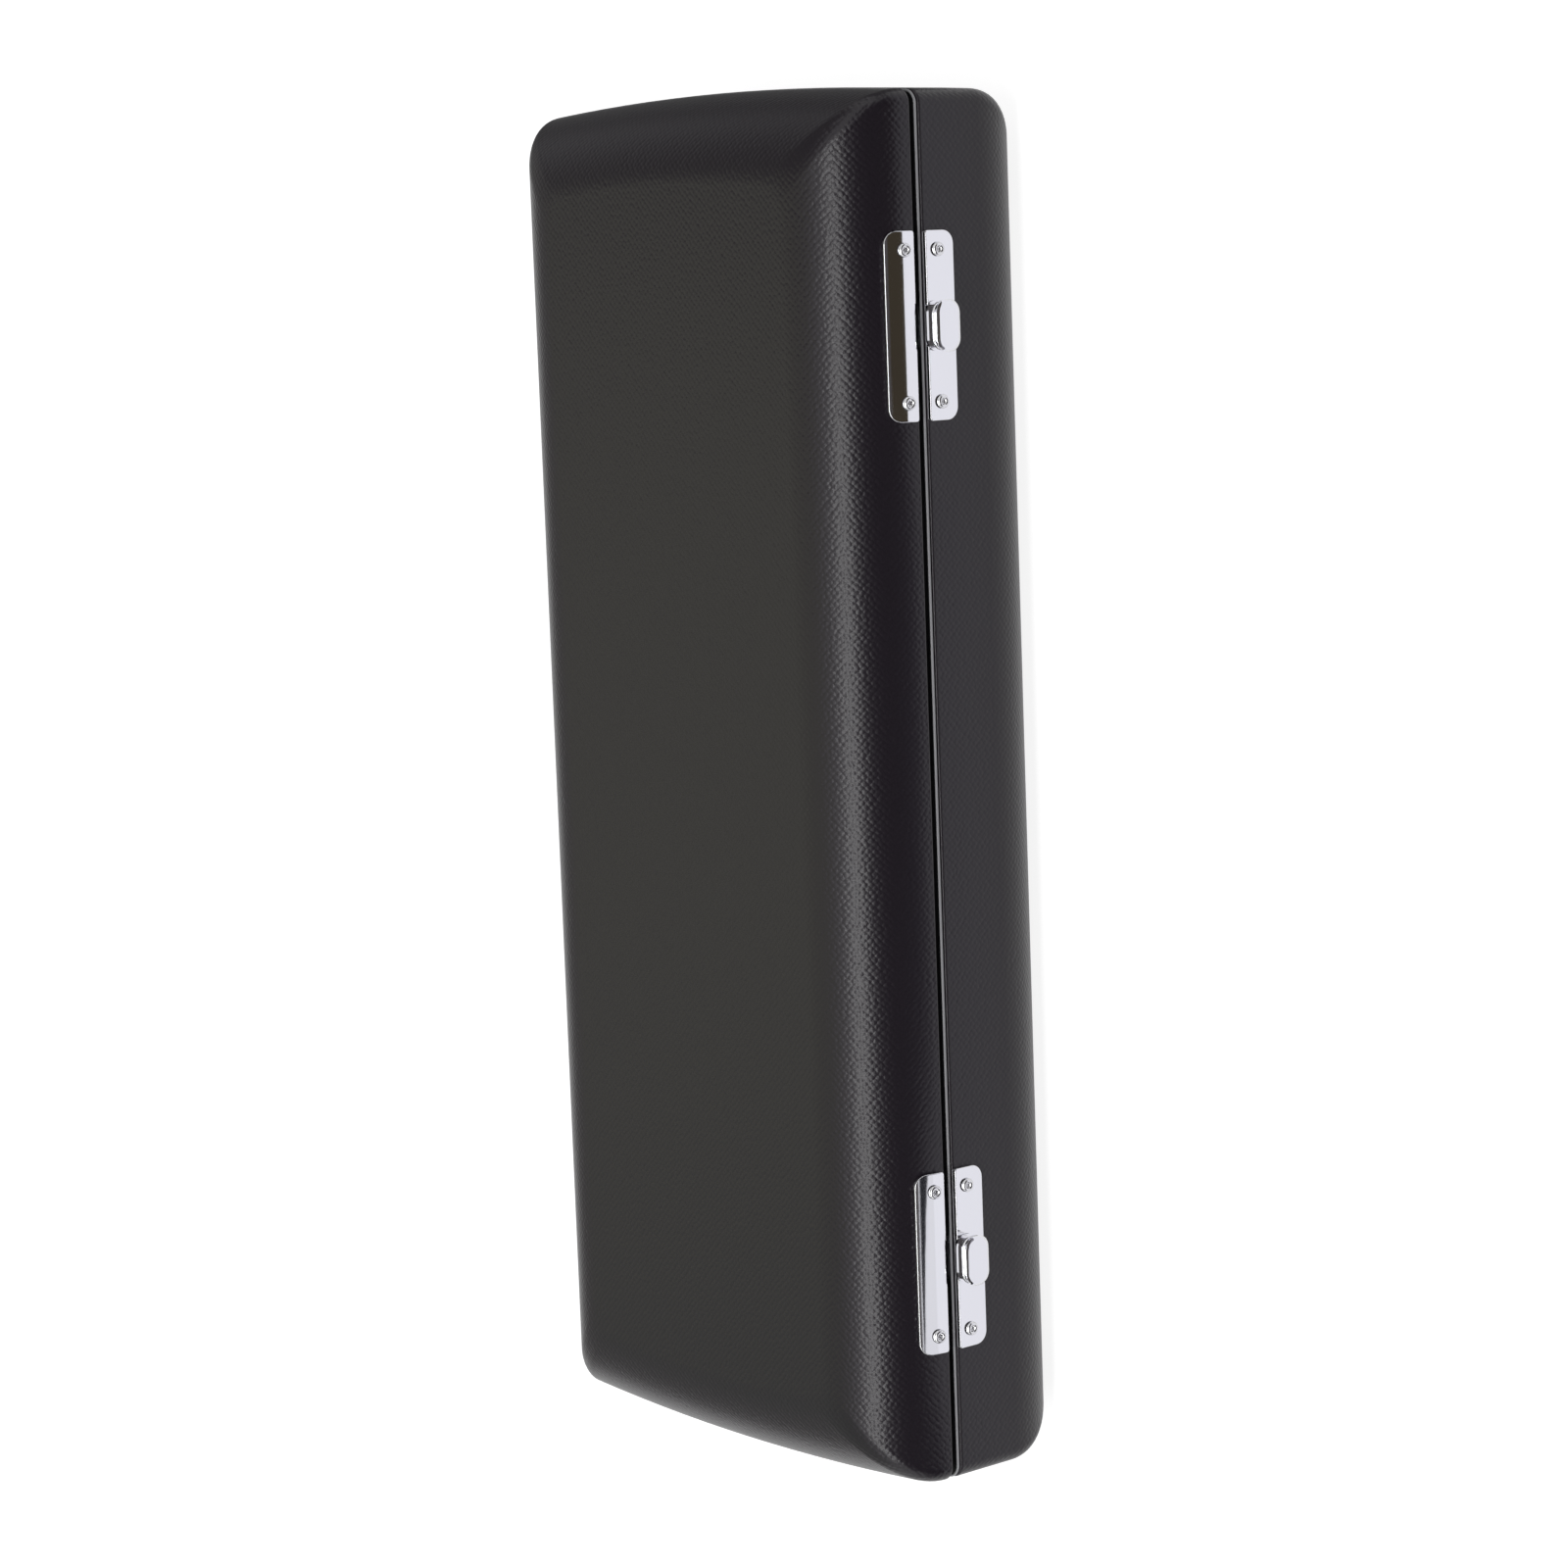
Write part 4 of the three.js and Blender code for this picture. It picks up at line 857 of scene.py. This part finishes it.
def white_table():
    """Matt white board. A glow lifts it to plain white where it is looked at, less where it is
    mirrored, and the soft shadow under the case stays."""
    finish, tree = new_material("matt white board")
    seen = add_node(tree, "ShaderNodeLightPath", {})
    board = add_node(tree, "ShaderNodeBsdfDiffuse", {"Color": colour(TABLE_COLOUR)})
    rays = {0: seen.outputs["Is Glossy Ray"], 1: seen.outputs["Is Transmission Ray"]}
    mirrored = add_node(tree, "ShaderNodeMath", rays, operation="MAXIMUM")
    dimmed = {0: mirrored.outputs[0], 1: TABLE_GLOW}
    mirror_glow = add_node(tree, "ShaderNodeMath", dimmed, operation="MULTIPLY")
    glows = {0: seen.outputs["Is Camera Ray"], 1: TABLE_SEEN_GLOW, 2: mirror_glow.outputs[0]}
    glow = add_node(tree, "ShaderNodeMath", glows, operation="MULTIPLY_ADD")
    light = add_node(tree, "ShaderNodeEmission", {"Color": colour("ffffff"), "Strength": glow.outputs[0]})
    both = add_node(tree, "ShaderNodeAddShader", {0: board.outputs[0], 1: light.outputs[0]})
    add_node(tree, "ShaderNodeOutputMaterial", {"Surface": both.outputs[0]})
    return finish


def panel(name, finish, centre, size, tilt=0, turn=0):
    """A flat board of the studio, tilted about X and then turned about Z by so many degrees."""
    bm = bmesh.new()
    turned = Matrix.Rotation(math.radians(turn), 4, "Z") @ Matrix.Rotation(math.radians(tilt), 4, "X")
    place = Matrix.Translation(centre) @ turned @ Matrix.Diagonal((*size, 1, 1))
    bmesh.ops.create_grid(bm, x_segments=1, y_segments=1, size=0.5, matrix=place)
    mesh = bpy.data.meshes.new(name)
    bm.to_mesh(mesh)
    bm.free()
    mesh.materials.append(finish)
    board = bpy.data.objects.new(name, mesh)
    bpy.context.scene.collection.objects.link(board)
    return board


def flag(name, hex_value, *where):
    """A board that only reflections see, of one even tone."""
    finish, tree = new_material(name + " cloth")
    shade = add_node(tree, "ShaderNodeEmission", {"Color": colour(hex_value), "Strength": 1.0})
    add_node(tree, "ShaderNodeOutputMaterial", {"Surface": shade.outputs[0]})
    board = panel(name, finish, *where)
    board.visible_camera = False
    board.visible_diffuse = False
    board.visible_shadow = False


# The boards: name, tone, centre and size in metres, tilt and turn in degrees. The cards lie on the
# table, each a little higher than those that it covers.
BOARDS = (
    ("front flag", "4c494a", (0, -1.3, 0.68), (5.0, 1.36), 90),
    ("back flag", "a6a5a2", (0, 1.3, 0.4), (6.0, 0.8), 90),
    ("top flag", "e1e4cf", (-0.1, 0.65, 1.0), (0.64, 1.4), -18),
    ("left top flag", "b6beb2", (-1.72, 0.65, 1.0), (2.6, 1.4), -18),
    ("right top flag", "80807c", (1.72, 0.65, 1.0), (3.0, 1.4), -18),
    ("right flag", "a8a8a8", (1.35, 1.25, 0.55), (1.5, 1.1), 90),
    ("near card", "eeeef4", (0, -0.121, 0.0002), (0.6, 0.078)),
    ("slot card", "e4e4e9", (-0.28, -0.73, 0.0001), (0.46, 1.14)),
    ("middle card", "7c7a82", (-0.0105, -0.21, 0.0006), (0.149, 0.184)),
    ("far card", "26262a", (-0.0907, -0.5557, 0.0003), (0.3, 0.646), 0, -21.8),
    ("low card", "26262a", (-0.5175, -0.6381, 0.0003), (0.42, 1.2), 0, -15.8),
    ("right card", "4c4c50", (0.86, -0.6, 0.0004), (1.0, 1.16)),
    ("brown card", "3a342b", (0.19, -0.73, 0.0005), (0.34, 1.14)),
    ("corner card", "707070", (0.76, 0.57, 0.0005), (1.2, 1.22)),
)

panel("table", white_table(), (0, 0, 0), (2 * STUDIO_HALF, 2 * STUDIO_HALF))
for board in BOARDS:
    flag(*board)

world = bpy.data.worlds.new("white surround")
bpy.context.scene.world = world
world.use_nodes = True
world.node_tree.nodes.clear()
seen = add_node(world.node_tree, "ShaderNodeLightPath", {})
looked_at = {0: seen.outputs["Is Camera Ray"], 1: seen.outputs["Is Glossy Ray"]}
direct = add_node(world.node_tree, "ShaderNodeMath", looked_at, operation="MAXIMUM")
looked_through = {0: direct.outputs[0], 1: seen.outputs["Is Transmission Ray"]}
plain = add_node(world.node_tree, "ShaderNodeMath", looked_through, operation="MAXIMUM")
dimming = {"Value": plain.outputs[0], "To Min": WORLD_LEVEL, "To Max": 1.0}
level = add_node(world.node_tree, "ShaderNodeMapRange", dimming)
white = {"Color": colour("ffffff"), "Strength": level.outputs["Result"]}
sky = add_node(world.node_tree, "ShaderNodeBackground", white)
add_node(world.node_tree, "ShaderNodeOutputWorld", {"Surface": sky.outputs[0]})

STRIP_PLACE = (-0.475, -0.57, 1.02)
STRIP_AIM = (-0.475, -0.05, 0.05)
STRIP_LENGTH = 1.45
STRIP_WIDTH = 0.22
STRIP_WATTS = 5.9

lamp = bpy.data.lights.new("strip softbox", "AREA")
lamp.shape = "RECTANGLE"
lamp.size = STRIP_LENGTH
lamp.size_y = STRIP_WIDTH
lamp.energy = STRIP_WATTS
strip = bpy.data.objects.new("strip softbox", lamp)
strip.location = STRIP_PLACE
strip.rotation_euler = (Vector(STRIP_AIM) - Vector(STRIP_PLACE)).to_track_quat("-Z", "Y").to_euler()
bpy.context.scene.collection.objects.link(strip)

# The camera's place, turn and lens are fitted to the outline of the case, its parting line and the
# corners of its latch plates in the photograph.
CAMERA_PLACE = (0.110929, -0.665869, 0.579547)
CAMERA_TURN = (-9.9618, 50.0724, -93.2738)
SENSOR_MM = 36
LENS_MM = 90.932
CLIP_START = 0.05

camera_data = bpy.data.cameras.new("camera")
camera_data.sensor_width = SENSOR_MM
camera_data.lens = LENS_MM
camera_data.clip_start = CLIP_START
camera = bpy.data.objects.new("camera", camera_data)
camera.location = CAMERA_PLACE
camera.rotation_euler = [math.radians(angle) for angle in CAMERA_TURN]
bpy.context.scene.collection.objects.link(camera)
bpy.context.scene.camera = camera
bpy.context.scene.view_settings.view_transform = "Standard"
